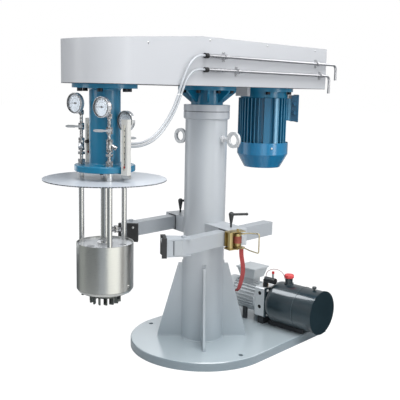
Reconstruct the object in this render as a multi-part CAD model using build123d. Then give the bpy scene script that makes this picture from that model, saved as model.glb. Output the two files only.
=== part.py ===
from build123d import *
import math
import os

# Basket mill on a hydraulic lifting column, in millimetres.
# The origin is on the floor under the column axis. +X runs from the milling head to the drive motor,
# +Z is up, and the ratchet of the vessel clamp and the oil tank are on the -Y side.

# Fits and gaps
shaft_fit = 0.05
curved_gap = 0.3
flat_gap = 0.5
weld_gap = 0.1
through = 1

# Floor plate
plate_thickness = 45
plate_half_width = 388
plate_rear_x = 647
plate_edge = 4
anchor_front_x = -68
anchor_rear_x = 600
anchor_y = 331
anchor_hole_d = 26

# Column and its gussets
column_d = 219
column_wall = 10
collar_d = 240
collar_bottom = 1225
collar_top = 1299
collar_groove_z = 1265
collar_groove_w = 4
collar_groove_depth = 2.5
collar_chamfer = 6
bush_length = 60
gusset_count = 4
gusset_thickness = 12
gusset_height = 410
gusset_foot = 132
gusset_top = 24
gusset_toe = 16

# Lifting eyes
eye_z = 1127
eye_reach = 77
eye_outer_d = 82
eye_inner_d = 50
eye_thickness = 14
eye_shank_d = 20
eye_boss_d = 34
eye_boss_h = 12

# Lift
lift_travel = 500
ram_d = 160
ram_wall = 9
ram_guided = 245
ram_cap_h = 60
barrel_d = 90
barrel_bore_d = 70
barrel_top = 1120
barrel_gland = 20
barrel_foot = 20
rod_d = 45
piston_length = 60

# Ribbed flange between ram and beam
flare_d = 302
flare_thickness = 20
flare_neck_d = 166
flare_rib_count = 8
flare_rib_t = 12
flare_rib_root = 3
flare_rib_low = 13
flare_rib_edge = 8
flare_bolt_pcd = 262

# Beam plate and hood
hood_bottom = 1393
hood_top = 1621
hood_half_width = 191
hood_sheet = 3
hood_rear_x = 823
hood_slope_start = -258
hood_slope = 0.071
head_x = -682
beam_thickness = 14
beam_rib_h = 80
beam_rib_t = 12
beam_rib_y = 160
beam_rib_front_x = -560
beam_rib_end_gap = 8
tension_gap = 20
tension_length = 25
tension_width = 82
tension_height = 48

# Belt drive
motor_x = 489
spindle_pulley_d = 200
motor_pulley_d = 140
pulley_bottom = 1450
pulley_margin = 3
pulley_rim = 12
pulley_hub_d = 70
belt_count = 3
belt_pitch = 19
belt_width = 13
belt_depth = 9
groove_angle = 20
shaft_end = 16

# Motor
motor_flange_d = 324
motor_flange_t = 22
motor_shield_d = 270
motor_fin_top = 1336
motor_fin_bottom = 1087
motor_core_d = 246
motor_fin_d = 290
motor_fin_t = 4
motor_fin_count = 40
motor_pad_az = 225
motor_pad_w = 34
motor_bar_az = 246
motor_bar_w = 14
motor_bolt_pcd = 300
motor_bolt_count = 6
motor_bolt_az = 45
motor_bore_gap = 6
motor_shaft_d = 42
fan_cover_wall = 3
fan_cover_cone_z = 1020
fan_cover_bottom = 945
fan_cover_mouth_d = 206
fan_slot_count = 10
fan_slot_w = 6
fan_slot_in = 22
fan_slot_margin = 12
fan_d = 220
fan_hub_d = 84
fan_hub_h = 8
fan_blade_count = 7
fan_blade_h = 40
fan_blade_t = 4
motor_box_az = -45
motor_box_reach = 180
motor_box_w = 120
motor_box_z = 1208
motor_box_h = 146
motor_box_lid = 9
motor_box_rim = 4
motor_box_round = 5
gland_d = 26
gland_nose_d = 18
gland_length = 26
gland_spacing = 50

# Milling head
head_flange_d = 290
head_flange_t = 20
head_body_d = 140
head_foot_d = 274
head_foot_t = 28
head_foot_top = 1033
head_fillet = 10
head_edge = 3
head_bore_gap = 8
head_bolt_pcd = 232
head_bolt_count = 6
head_bolt_az = 40
foot_bolt_pcd = 172
bearing_d = 90
bearing_bore_d = 44
bearing_w = 46
bearing_inset = 8
bolt_head_d = 24
bolt_head_h = 15
small_bolt_d = 16
small_bolt_h = 9
socket_depth = 4
tension_screw_d = 12

# Basket and what carries it
tie_count = 3
tie_d = 25
tie_collar_d = 34
tie_collar_h = 6
disc_d = 560
disc_t = 4.5
disc_top = 969
sleeve_d = 42
sleeve_bore_d = 33
sleeve_foot_d = 74
sleeve_foot_h = 8
spindle_low_d = 28
spindle_seat = 6
basket_d = 262
basket_wall = 3
basket_top = 675
basket_bevel_h = 14
basket_foot_d = 244
basket_lip = 25
lid_recess = 8
lid_t = 12
lid_hole_d = 36
lid_hole_radius = 84
screen_t = 7
screen_gap = 8
screen_overlap = 12
screen_bore_gap = 7
screen_bolt_d = 13
screen_bolt_h = 14
screen_bolt_count = 3
screen_bolt_az = 26
screen_slot_count = 30
screen_slot_w = 4.5
screen_slot_in = 50
screen_slot_out = 90
agitator_hub_d = 56
agitator_rows = 4
agitator_pegs = 6
agitator_peg_d = 14
agitator_reach = 104
agitator_low_gap = 29
agitator_top_gap = 9
impeller_d = 146
impeller_hub_d = 56
impeller_hub_h = 16
impeller_plate = 432
impeller_plate_t = 8
impeller_vane_h = 33
impeller_teeth = 14
impeller_tooth = 8
impeller_vane = 20
impeller_vane_turn = 35
drain_plug_rise = 35
drain_plug_d = 14
drain_plug_h = 4
drain_plug_az = -75

# Gauges and pipework on the head, placed from the head axis
view_az = 222
gauge_az = 188
gauge_d = 92
gauge_depth = 20
gauge_edge = 2
gauge_dial_d = 80
gauge_dial_depth = 9
needle_length = 32
needle_width = 3.5
needle_tip = 1.2
needle_t = 1.2
needle_hub_d = 9
left_stack = (-78, 70)
middle_stack = (-48, -86.5)
right_stack = (23, -115)
left_gauge_z = 1305
middle_gauge_z = 1293
right_gauge_z = 1232
left_gauge_reach = 46
middle_gauge_reach = 56
left_valve_z = 1203
middle_valve_z = 1191
right_valve_z = 1160
pipe_d = 15
valve_body_d = 28
valve_body_h = 30
valve_nut_af = 26
valve_stem_d = 12
valve_stem_length = 6
strainer_d = 27
strainer_branch_d = 19
strainer_branch = 32
strainer_drop = 24
strainer_top = 1152
strainer_bottom = 1096
strainer_nut_h = 10
union_af = 30
union_h = 24
union_gap = 6
gauge_nut_af = 22
gauge_nut_h = 20
gauge_nut_drop = 50
gauge_tee_d = 23
gauge_tee_h = 26
lever_length = 62
right_lever_length = 44
lever_width = 9
lever_grip_w = 12
lever_hub_d = 16
lever_t = 3
lever_grip_t = 5
hose_tail_d = 9
hose_tail_length = 14
upper_tail_z = 1133
lower_tail_z = 1120
bead_valve_z = 716
bead_valve_length = 50
bead_valve_d = 18
bead_cup_d = 24
bead_cup_low = 14
bead_cup_high = 18
bead_nut_d = 26
bead_nut_l = 10

# Flow meters
meter_w = 34
meter_depth = 25
meter_bottom = 998
meter_top = 1242
meter_window_w = 14
meter_window_depth = 4
meter_window_end = 24
meter_bracket_d = 14
front_meter = (-17, -162)
rear_meter = (-2.5, 104)
rear_meter_top = 1237
meter_foot_h = 12
meter_foot_rim = 4
knob_d = 16
knob_length = 14
knob_z = 1130

# Wash lances on the side of the hood
lance_d = 15
lance_sleeve_d = 20
lance_gap = 15
lance_front_x = -252
lance_sleeve_end_x = -100
upper_lance_z = 1533
lower_lance_z = 1468
upper_lance_end_x = 905
lower_lance_end_x = 838
upper_lance_drop = 88
lower_lance_drop = 100
lance_bend = 30
clip_w = 14
clip_t = 3
clip_tab = 24
clip_stem = 8
upper_clips = (-104, 704)
lower_clips = (-6, 747)
cap_d = 24
cap_length = 22

# Vessel clamp
clamp_skew = 13.5
crossbar_w = 120
crossbar_half_length = 292
crossbar_wall = 8
arm_w = 60
arm_h = 70
arm_wall = 5
arm_y = 232
arm_z = 649
front_arm_pivot_x = -400
rear_arm_pivot_x = -315
arm_nose = 66
arm_tail = 656
arm_chamfer_start = 37
arm_core_start = 40
pad_aim = 40
pivot_pin_d = 14
pivot_nut_af = 22
pivot_nut_h = 8
holder_reach = 74
holder_web = 9
holder_flange = 6
holder_w = 100
holder_back = 30
pad_t = 24
pad_vee = 9
pad_h = 94
clamp_hub_d = 27
clamp_hub_low_d = 12
clamp_hub_h = 46
clamp_hub_z = 20
clamp_bolt_d = 10
clamp_lever_length = 78
clamp_lever_d = 13
clamp_lever_az = -46
clamp_lever_rise = 3

# Strap winder, in the frame of the skewed crossbar
drum_u = -12
drum_off = 19
drum_d = 38
drum_axle_d = 12
drum_axle_end = 8
post_d = 28
post_u = -44
winder_low = 600
winder_h = 90
winder_plate = 4
winder_depth = 44
winder_left = 66
winder_right = 30
bail_ear_t = 3
bail_ear_gap = 6
bail_ear_w = 22
bail_ear_length = 34
bail_reach = 134
bail_mid = 80
bail_wire_d = 6
bail_flare = 15
bail_corner = 8
bail_bow = 60
strap_w = 22
strap_t = 3
strap_az = -48

# Hydraulic power unit, with its axis along Y
unit_x = 460
unit_z = 177
tank_d = 238
tank_end_y = -472
tank_front_y = -150
tank_seam_y = -345
tank_seam_w = 4
tank_seam_h = 1.5
tank_rim_h = 3
tank_rim_w = 10
tank_plate = 172
tank_plate_t = 12
tank_bolt_d = 14
tank_bolt_inset = 14
tank_bolt_h = 5
tank_round = 42
block_w = 170
block_t = 66
block_edge = 5
port_d = 22
port_low_z = 148
port_high_z = 228
plug_inset = 2
plug_socket_af = 12
plug_socket_depth = 9
pump_motor_d = 176
pump_core_d = 156
pump_motor_length = 247
pump_fin_count = 28
pump_fin_t = 3.5
pump_shield_t = 14
pump_cover_length = 70
pump_cover_rim = 3
pump_cover_round = 12
terminal_w = 136
terminal_l = 138
terminal_y = -50
terminal_neck = 34
terminal_low_z = 288
terminal_lid_z = 344
terminal_lid = 8
terminal_rim = 4
terminal_taper = 16
neck_d = 42
neck_y = -245
neck_h = 34
neck_sink = 10
neck_collar = 6
filler_cap_d = 54
filler_cap_h = 20
filler_cap_edge = 3
bleed_y = -415
bleed_d = 24
bleed_stem_d = 12
bleed_stem_h = 9
bleed_knob_h = 9
rail_offset = 45
rail_w = 14
rail_end_gap = 6
foot_offset = 57
foot_d = 30
foot_y = 19
foot_rise = 16
cartridge_x = 430
cartridge_d = 24
cartridge_nut_af = 28
cartridge_nut_h = 12
cartridge_h = 42
cartridge_cap_af = 18
cartridge_cap_h = 10
coil_x = 405
coil_z = 308
coil_d = 34
coil_front_y = -122
coil_back_y = -190
coil_foot_w = 20
coil_stem_y = -172
coil_stem_d = 12
coil_stem_h = 43
coil_knob_d = 15
coil_knob_h = 12

# Cords
hose_d = 11
wire_d = 3
tail_run = 36
arc_share = 0.45


def cylinder(d, z0, z1, x=0, y=0):
    """Upright cylinder of diameter d from z0 to z1."""
    return Pos(x, y, (z0 + z1) / 2) * Cylinder(d / 2, z1 - z0)


def ring(d_out, d_in, z0, z1, x=0, y=0):
    """Upright ring from z0 to z1."""
    return cylinder(d_out, z0, z1, x, y) - cylinder(d_in, z0 - through, z1 + through, x, y)


def block(x0, x1, y0, y1, z0, z1):
    """Box between two corners."""
    return Pos((x0 + x1) / 2, (y0 + y1) / 2, (z0 + z1) / 2) * Box(x1 - x0, y1 - y0, z1 - z0)


def bar(start, end, d):
    """Round bar of diameter d between two points."""
    run = Vector(*end) - Vector(*start)
    return extrude(Plane(origin=start, z_dir=run) * Circle(d / 2), run.length)


def hexagon(af, z0, z1, x=0, y=0):
    """Upright hexagonal prism of a width across flats."""
    return Pos(x, y, z0) * extrude(RegularPolygon(af / 2, 6, major_radius=False), z1 - z0)


def heading(az, length=1.0):
    """Horizontal step of a length in the direction az, in degrees from +X."""
    return (length * math.cos(math.radians(az)), length * math.sin(math.radians(az)))


def stepped(x, y, z, az, length):
    """Point a horizontal step away from x, y, at the height z."""
    step = heading(az, length)
    return (x + step[0], y + step[1], z)


def circle_points(count, d, start=0):
    """Points on a circle of diameter d."""
    return [heading(start + 360 * i / count, d / 2) for i in range(count)]


def write(node, shapes):
    """Write one sub-part, a list of shapes, as STEP."""
    solids = [solid for shape in shapes for solid in shape.solids()]
    export_step(Compound(children=solids), f"parts/{node}.step")


# Stand: floor plate, column, collar and lifting eyes
def base_plate():
    width = 2 * plate_half_width
    outline = Circle(plate_half_width) + Pos(plate_rear_x / 2, 0) * Rectangle(plate_rear_x, width)
    plate = extrude(outline, plate_thickness)
    plate = chamfer(plate.faces().sort_by(Axis.Z)[-1].edges(), plate_edge)
    for x in (anchor_front_x, anchor_rear_x):
        for y in (-anchor_y, anchor_y):
            plate -= cylinder(anchor_hole_d, -through, plate_thickness + through, x, y)
    return [plate]


def column_tube():
    """Column tube and the gussets welded to its foot."""
    tube = ring(column_d, column_d - 2 * column_wall, plate_thickness, collar_bottom)
    inner = column_d / 2 + weld_gap
    outer = inner + gusset_foot
    profile = Polygon((inner, 0), (outer, 0), (outer, gusset_toe), (inner + gusset_top, gusset_height),
                      (inner, gusset_height), align=None)
    gusset = Pos(0, 0, plate_thickness) * extrude(Plane.XZ * profile, gusset_thickness / 2, both=True)
    spread = 360 / gusset_count
    return [tube] + [Rot(0, 0, spread * (i + 0.5)) * gusset for i in range(gusset_count)]


def column_collar():
    collar = cylinder(collar_d, collar_bottom, collar_top)
    collar = chamfer(collar.edges().sort_by(Axis.Z)[0], collar_chamfer)
    half_groove = collar_groove_w / 2
    collar -= ring(collar_d + 2 * through, collar_d - 2 * collar_groove_depth,
                   collar_groove_z - half_groove, collar_groove_z + half_groove)
    collar -= cylinder(ram_d + 2 * curved_gap, collar_bottom - through, collar_top + through)
    bush = ring(column_d - 2 * column_wall - 2 * weld_gap, ram_d + 2 * shaft_fit,
                collar_bottom - bush_length, collar_bottom)
    return [collar, bush]


def eye_bolts():
    eyes = []
    surface = column_d / 2
    seat = cylinder(column_d + 2 * weld_gap, eye_z - eye_boss_d, eye_z + eye_boss_d)
    for side in (-1, 1):
        place = Pos(0, side * (surface + eye_reach), eye_z) * Rot(0, 90, 0)
        shank_end = surface + eye_reach - (eye_outer_d + eye_inner_d) / 4
        boss_end = surface + eye_boss_h
        eye = place * Cylinder(eye_outer_d / 2, eye_thickness)
        eye += bar((0, 0, eye_z), (0, side * shank_end, eye_z), eye_shank_d)
        eye += bar((0, 0, eye_z), (0, side * boss_end, eye_z), eye_boss_d)
        eye -= place * Cylinder(eye_inner_d / 2, eye_thickness + 2 * through)
        eyes.append(eye - seat)
    return eyes


# Lift: barrel on the plate, ram and rod that rise together, ribbed flange under the beam
def lift_cylinder():
    """Barrel on the plate, closed at the top by the rod's gland."""
    gland_low = barrel_top - barrel_gland
    barrel = cylinder(barrel_d, plate_thickness, barrel_top)
    barrel -= cylinder(barrel_bore_d, plate_thickness + barrel_foot, gland_low)
    return [barrel - cylinder(rod_d + 2 * shaft_fit, gland_low - through, barrel_top + through)]


def ram():
    low = collar_bottom - bush_length - lift_travel - ram_guided
    bore_d = ram_d - 2 * ram_wall
    cap_low = collar_top - ram_cap_h
    piston_top = barrel_top - barrel_gland - lift_travel - flat_gap
    tube = ring(ram_d, bore_d, low, collar_top)
    cap = cylinder(bore_d - 2 * weld_gap, cap_low, collar_top)
    rod = cylinder(rod_d, piston_top, cap_low)
    rod += cylinder(barrel_bore_d - 2 * shaft_fit, piston_top - piston_length, piston_top)
    return [tube, cap, rod]


def ram_flange():
    neck_r = flare_neck_d / 2
    tip_r = flare_d / 2 - through
    drop = hood_bottom - flare_thickness - collar_top
    flange = cylinder(flare_d, hood_bottom - flare_thickness, hood_bottom)
    flange += cylinder(flare_neck_d, collar_top, hood_bottom - flare_thickness)
    profile = Polygon((neck_r - flare_rib_root, drop), (tip_r, drop), (tip_r, drop - flare_rib_edge),
                      (neck_r + flare_rib_root, flare_rib_low), (neck_r - flare_rib_root, flare_rib_low),
                      align=None)
    rib = Pos(0, 0, collar_top) * extrude(Plane.XZ * profile, flare_rib_t / 2, both=True)
    for i in range(flare_rib_count):
        flange += Rot(0, 0, 360 * i / flare_rib_count) * rib
    return [flange]


# Beam plate with its stiffeners, and the sheet hood over it
def hood_outline(inset):
    half = hood_half_width - inset
    length = hood_rear_x - inset - head_x
    return Pos(head_x, 0) * Circle(half) + Pos(head_x + length / 2, 0) * Rectangle(length, 2 * half)


def above_roof(drop):
    """Wedge of space over the sloping front of the roof, lowered by drop."""
    nose = head_x - hood_half_width - hood_sheet
    top = hood_top - drop
    over = hood_top + hood_half_width
    wedge = Polygon((hood_slope_start, top), (nose, top - hood_slope * (hood_slope_start - nose)),
                    (nose, over), (hood_slope_start, over), align=None)
    return extrude(Plane.XZ * wedge, hood_half_width + hood_sheet, both=True)


def hood_shell():
    outer = Pos(0, 0, hood_bottom) * extrude(hood_outline(0), hood_top - hood_bottom)
    inner_height = hood_top - hood_sheet - hood_bottom + through
    inner = Pos(0, 0, hood_bottom - through) * extrude(hood_outline(hood_sheet), inner_height)
    return [(outer - above_roof(0)) - (inner - above_roof(hood_sheet))]


def beam_plate():
    """Beam plate with two stiffeners, and the belt tension block with its screw."""
    top = hood_bottom + beam_thickness
    plate = Pos(0, 0, hood_bottom) * extrude(hood_outline(hood_sheet + flat_gap), beam_thickness)
    for x in (head_x, motor_x):
        plate -= cylinder(bearing_d, hood_bottom - through, top + through, x)
    rib_end = hood_rear_x - hood_sheet - beam_rib_end_gap
    for side in (-1, 1):
        y0 = side * beam_rib_y - beam_rib_t / 2
        plate += block(beam_rib_front_x, rib_end, y0, y0 + beam_rib_t, top, top + beam_rib_h)
    flange_x = motor_x - motor_flange_d / 2
    block_x = flange_x - tension_gap
    tension = block(block_x - tension_length, block_x, -tension_width / 2, tension_width / 2,
                    hood_bottom - tension_height, hood_bottom)
    screw_z = hood_bottom - motor_flange_t / 2
    tension += bar((block_x, 0, screw_z), (flange_x, 0, screw_z), tension_screw_d)
    return [plate, tension]


# Belt drive: grooved pulleys, and V-belts that lie clear in the grooves
def belt_z(i):
    return pulley_bottom + pulley_margin + belt_pitch * (i + 0.5)


def belt_inner_half():
    return belt_width / 2 - belt_depth * math.tan(math.radians(groove_angle))


def pulley(d, shaft_d, x):
    top = pulley_bottom + 2 * pulley_margin + belt_count * belt_pitch
    body = cylinder(d, pulley_bottom, top)
    root_r = d / 2 - belt_depth - curved_gap
    half_in = belt_inner_half() + curved_gap
    half_out = belt_width / 2 + curved_gap
    for i in range(belt_count):
        z = belt_z(i)
        groove = Polygon((d / 2 + through, z - half_out), (d / 2, z - half_out), (root_r, z - half_in),
                         (root_r, z + half_in), (d / 2, z + half_out), (d / 2 + through, z + half_out),
                         align=None)
        body -= revolve(Plane.XZ * groove, Axis.Z)
    dish_d = d - 2 * (belt_depth + pulley_rim)
    body -= ring(dish_d, pulley_hub_d, (pulley_bottom + top) / 2, top + through)
    body -= cylinder(shaft_d + 2 * shaft_fit, pulley_bottom - through, top + through)
    return Pos(x, 0, 0) * body


def belt_area(r_big, r_small):
    """Plan outline of both discs and the straight runs that join them."""
    tilt = math.asin((r_big - r_small) / (motor_x - head_x))
    corners = []
    for x, r, sides in ((head_x, r_big, (1, -1)), (motor_x, r_small, (-1, 1))):
        corners += [(x + r * math.sin(tilt), side * r * math.cos(tilt)) for side in sides]
    discs = Pos(head_x, 0) * Circle(r_big) + Pos(motor_x, 0) * Circle(r_small)
    return Polygon(*corners, align=None) + discs


def drive_belts():
    big = spindle_pulley_d / 2
    small = motor_pulley_d / 2
    loop = belt_area(big, small) - belt_area(big - belt_depth, small - belt_depth)
    half = belt_inner_half()
    return [Pos(0, 0, belt_z(i) - half) * extrude(loop, 2 * half) for i in range(belt_count)]


def shaft_top():
    return pulley_bottom + 2 * pulley_margin + belt_count * belt_pitch + shaft_end


def spindle_d():
    return bearing_bore_d - 2 * shaft_fit


def spindle_shaft():
    shoulder = head_foot_top - head_foot_t
    shaft = cylinder(spindle_d(), shoulder, shaft_top(), head_x)
    return [shaft + cylinder(spindle_low_d, impeller_plate - spindle_seat, shoulder, head_x)]


def motor_shaft():
    """Motor shaft and the cooling fan on its lower end."""
    hub_low = fan_cover_cone_z + fan_cover_wall
    shaft = cylinder(motor_shaft_d, fan_cover_cone_z, shaft_top(), motor_x)
    fan = cylinder(fan_hub_d, hub_low, hub_low + fan_hub_h)
    blade = block(fan_hub_d / 2 - fan_blade_t, fan_d / 2, -fan_blade_t / 2, fan_blade_t / 2,
                  hub_low, hub_low + fan_blade_h)
    for i in range(fan_blade_count):
        fan += Rot(0, 0, 360 * i / fan_blade_count) * blade
    fan -= cylinder(motor_shaft_d + 2 * shaft_fit, hub_low - through, hub_low + fan_hub_h + through)
    return [shaft, Pos(motor_x, 0, 0) * fan]


# Drive motor: finned frame, bearing shield with flange, fan cover and terminal box
def finned(core_d, fin_d, fin_t, count, skip=()):
    """Plan outline of a finned frame, without the fins whose number is in skip."""
    outline = Circle(core_d / 2)
    length = (fin_d - core_d) / 2 + fin_t
    for i in range(count):
        if i not in skip:
            outline += Rot(0, 0, 360 * i / count) * Pos(fin_d / 2 - length / 2, 0) * Rectangle(length, fin_t)
    return outline


def on_motor(az, r, z):
    """Frame on the motor's side, with its own +X pointing out."""
    return Pos(motor_x, 0, z) * Rot(0, 0, az) * Pos(r, 0, 0)


def motor_frame():
    step = 360 / motor_fin_count
    bare = [(round(motor_box_az / step) + k) % motor_fin_count for k in range(-3, 4)]
    bare += [(round(motor_pad_az / step) + k) % motor_fin_count for k in range(-1, 2)]
    outline = finned(motor_core_d, motor_fin_d, motor_fin_t, motor_fin_count, bare)
    height = motor_fin_top - motor_fin_bottom
    mid_z = (motor_fin_top + motor_fin_bottom) / 2
    fin_h = (motor_fin_d - motor_core_d) / 2
    mid_r = (motor_core_d + motor_fin_d) / 4
    frame = Pos(motor_x, 0, motor_fin_bottom) * extrude(outline, height)
    frame += on_motor(motor_pad_az, mid_r, mid_z) * Box(fin_h, motor_pad_w, height)
    frame += on_motor(motor_bar_az, mid_r, mid_z) * Box(fin_h + 2 * motor_fin_t, motor_bar_w, height)
    seat_low = motor_box_z + motor_box_rim
    frame += on_motor(motor_box_az, mid_r, (seat_low + motor_fin_top) / 2) * Box(
        fin_h + 2 * motor_box_rim, motor_box_w - 4 * motor_box_rim, motor_fin_top - seat_low)
    bore_d = motor_shaft_d + 2 * motor_bore_gap
    return [frame - cylinder(bore_d, motor_fin_bottom - through, motor_fin_top + through, motor_x)]


def motor_flange():
    low = hood_bottom - motor_flange_t
    shield = cylinder(motor_shield_d, motor_fin_top, low, motor_x)
    shield = chamfer(shield.edges().sort_by(Axis.Z)[0], head_edge)
    flange = shield + cylinder(motor_flange_d, low, hood_bottom, motor_x)
    bore_d = motor_shaft_d + 2 * shaft_fit
    return [flange - cylinder(bore_d, motor_fin_top - through, hood_bottom + through, motor_x)]


def fan_cover():
    r_out = motor_fin_d / 2
    r_mouth = fan_cover_mouth_d / 2
    wall = fan_cover_wall
    profile = Polygon(
        (r_out, motor_fin_bottom), (r_out, fan_cover_cone_z), (r_mouth, fan_cover_bottom),
        (0, fan_cover_bottom), (0, fan_cover_bottom + wall), (r_mouth - wall, fan_cover_bottom + wall),
        (r_out - wall, fan_cover_cone_z + wall), (r_out - wall, motor_fin_bottom), align=None)
    cover = revolve(Plane.XZ * profile, Axis.Z)
    slot = block(fan_slot_in, r_mouth - fan_slot_margin, -fan_slot_w / 2, fan_slot_w / 2,
                 fan_cover_bottom - through, fan_cover_bottom + wall + through)
    for i in range(fan_slot_count):
        cover -= Rot(0, 0, 360 * i / fan_slot_count) * slot
    return [Pos(motor_x, 0, 0) * cover]


def motor_terminal_box():
    """Terminal box with its lid, and two cable glands on the side."""
    inner = (motor_fin_d / 2) + motor_box_rim
    mid_z = motor_box_z + motor_box_h / 2
    depth = motor_box_reach - inner
    place = on_motor(motor_box_az, 0, mid_z)
    body = Pos(inner + depth / 2, 0, 0) * Box(depth, motor_box_w, motor_box_h)
    body = fillet(body.edges().filter_by(Axis.X), motor_box_round)
    lid = Pos(motor_box_reach + motor_box_lid / 2, 0, 0) * Box(
        motor_box_lid, motor_box_w + 2 * motor_box_rim, motor_box_h + 2 * motor_box_rim)
    lid = fillet(lid.edges().filter_by(Axis.X), motor_box_round)
    pieces = [place * body, place * lid]
    face = -motor_box_w / 2
    for z in (-gland_spacing / 2, gland_spacing / 2):
        out = Plane(origin=(inner + depth / 2, face, z), z_dir=(0, -1, 0))
        gland = extrude(out * RegularPolygon(gland_d / 2, 6), gland_length / 2)
        gland += extrude(out * Circle(gland_nose_d / 2), gland_length)
        pieces.append(place * gland)
    return pieces


# Milling head: flanged housing, bearings, screws
def head_housing():
    top = hood_bottom
    bottom = head_foot_top - head_foot_t
    r_body = head_body_d / 2
    body = cylinder(head_body_d, head_foot_top, top - head_flange_t)
    body += cylinder(head_foot_d, bottom, head_foot_top)
    body += cylinder(head_flange_d, top - head_flange_t, top)
    corners = body.edges().filter_by(GeomType.CIRCLE).filter_by(lambda e: abs(e.radius - r_body) < through)
    body = fillet(corners, head_fillet)
    rims = body.edges().filter_by(GeomType.CIRCLE).filter_by(
        lambda e: abs(e.radius - head_foot_d / 2) < through)
    body = chamfer(rims, head_edge)
    body -= cylinder(bearing_bore_d + 2 * head_bore_gap, bottom - through, top + through)
    for z0 in bearing_seats():
        body -= cylinder(bearing_d, z0, z0 + bearing_w)
    return [Pos(head_x, 0, 0) * body]


def bearing_seats():
    return (head_foot_top - head_foot_t + bearing_inset, hood_bottom - bearing_inset - bearing_w)


def spindle_bearings():
    return [ring(bearing_d - 2 * shaft_fit, bearing_bore_d, z0, z0 + bearing_w, head_x)
            for z0 in bearing_seats()]


def screws(x, points, top, d, height):
    """Socket heads under a face at the height top, round the axis at x."""
    head = cylinder(d, top - height, top)
    head -= hexagon(d / 2, top - height - through, top - height + socket_depth)
    return [Pos(x + px, py, 0) * head for px, py in points]


def head_bolts():
    """Screws of the head, its foot, the flare, the motor and the basket screen."""
    under_foot = head_foot_top - head_foot_t
    screen_r = basket_foot_d / 2 - basket_lip + screen_overlap / 2
    flare_start = 180 / flare_rib_count
    groups = (
        (head_x, circle_points(head_bolt_count, head_bolt_pcd, head_bolt_az),
         hood_bottom - head_flange_t, bolt_head_d, bolt_head_h),
        (head_x, circle_points(head_bolt_count, foot_bolt_pcd, head_bolt_az),
         under_foot, small_bolt_d, small_bolt_h),
        (0, circle_points(flare_rib_count, flare_bolt_pcd, flare_start),
         hood_bottom - flare_thickness, bolt_head_d, bolt_head_h),
        (motor_x, circle_points(motor_bolt_count, motor_bolt_pcd, motor_bolt_az),
         hood_bottom - motor_flange_t, bolt_head_d, bolt_head_h),
        (head_x, circle_points(screen_bolt_count, 2 * screen_r, screen_bolt_az),
         basket_bottom() - screen_t, screen_bolt_d, screen_bolt_h))
    return [screw for group in groups for screw in screws(*group)]


# Basket, its tie tubes, the splash disc and the agitator inside
def tie_points():
    radius = basket_d / 2 - basket_wall - flat_gap - tie_d / 2
    return [(head_x + x, y) for x, y in circle_points(tie_count, 2 * radius)]


def lid_top():
    return basket_top - lid_recess


def basket_bottom():
    return impeller_plate + screen_gap + screen_t


def tie_tubes():
    """Three tubes from the head's foot to the lid, with the collars that carry the disc."""
    seat = disc_top - disc_t
    tubes = []
    for x, y in tie_points():
        tube = cylinder(tie_d, lid_top(), head_foot_top - head_foot_t, x, y)
        tubes.append(tube + cylinder(tie_collar_d, seat - tie_collar_h, seat, x, y))
    return tubes


def splash_disc():
    low = disc_top - disc_t
    disc = cylinder(disc_d, low, disc_top, head_x)
    disc -= cylinder(sleeve_d + 2 * curved_gap, low - through, disc_top + through, head_x)
    for x, y in tie_points():
        disc -= cylinder(tie_d + 2 * curved_gap, low - through, disc_top + through, x, y)
    return [disc]


def shaft_sleeve():
    top = head_foot_top - head_foot_t
    sleeve = cylinder(sleeve_d, lid_top(), top, head_x)
    sleeve += cylinder(sleeve_foot_d, lid_top(), lid_top() + sleeve_foot_h, head_x)
    return [sleeve - cylinder(sleeve_bore_d, lid_top() - through, top + through, head_x)]


def basket_shell():
    r_out = basket_d / 2
    r_in = r_out - basket_wall
    r_foot = basket_foot_d / 2
    low = basket_bottom()
    seam = low + basket_bevel_h
    profile = Polygon(
        (r_out, basket_top), (r_out, seam), (r_foot, low), (r_foot - basket_lip, low),
        (r_foot - basket_lip, seam), (r_in, seam), (r_in, basket_top), align=None)
    shell = Pos(head_x, 0, 0) * revolve(Plane.XZ * profile, Axis.Z)
    inside = stepped(head_x, 0, low + drain_plug_rise, drain_plug_az, r_in + through)
    outside = stepped(head_x, 0, low + drain_plug_rise, drain_plug_az, r_out + drain_plug_h)
    return [shell + bar(inside, outside, drain_plug_d)]


def basket_lid():
    top = lid_top()
    lid = cylinder(basket_d - 2 * basket_wall - 2 * weld_gap, top - lid_t, top, head_x)
    lid -= cylinder(sleeve_bore_d, top - lid_t - through, top + through, head_x)
    for x, y in circle_points(tie_count, 2 * lid_hole_radius, 180 / tie_count):
        lid -= cylinder(lid_hole_d, top - lid_t - through, top + through, head_x + x, y)
    return [lid]


def basket_screen():
    low = basket_bottom() - screen_t
    outer_d = basket_foot_d - 2 * basket_lip + 2 * screen_overlap
    screen = ring(outer_d, spindle_low_d + 2 * screen_bore_gap, low, basket_bottom())
    slot = block(screen_slot_in, screen_slot_out, -screen_slot_w / 2, screen_slot_w / 2,
                 low - through, basket_bottom() + through)
    for i in range(screen_slot_count):
        screen -= Rot(0, 0, 360 * i / screen_slot_count) * slot
    return [Pos(head_x, 0, 0) * screen]


def agitator():
    """Hub with staggered rows of pegs."""
    low = basket_bottom() + agitator_low_gap
    high = lid_top() - lid_t - agitator_top_gap
    hub = ring(agitator_hub_d, spindle_low_d + 2 * shaft_fit, low, high)
    row_step = (high - low) / agitator_rows
    peg_step = 360 / agitator_pegs
    for row in range(agitator_rows):
        z = low + row_step * (row + 0.5)
        peg = bar((agitator_hub_d / 2 - wire_d, 0, z), (agitator_reach, 0, z), agitator_peg_d)
        for i in range(agitator_pegs):
            hub += Rot(0, 0, peg_step * (i + 0.5 * (row % 2))) * peg
    return [Pos(head_x, 0, 0) * hub]


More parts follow.
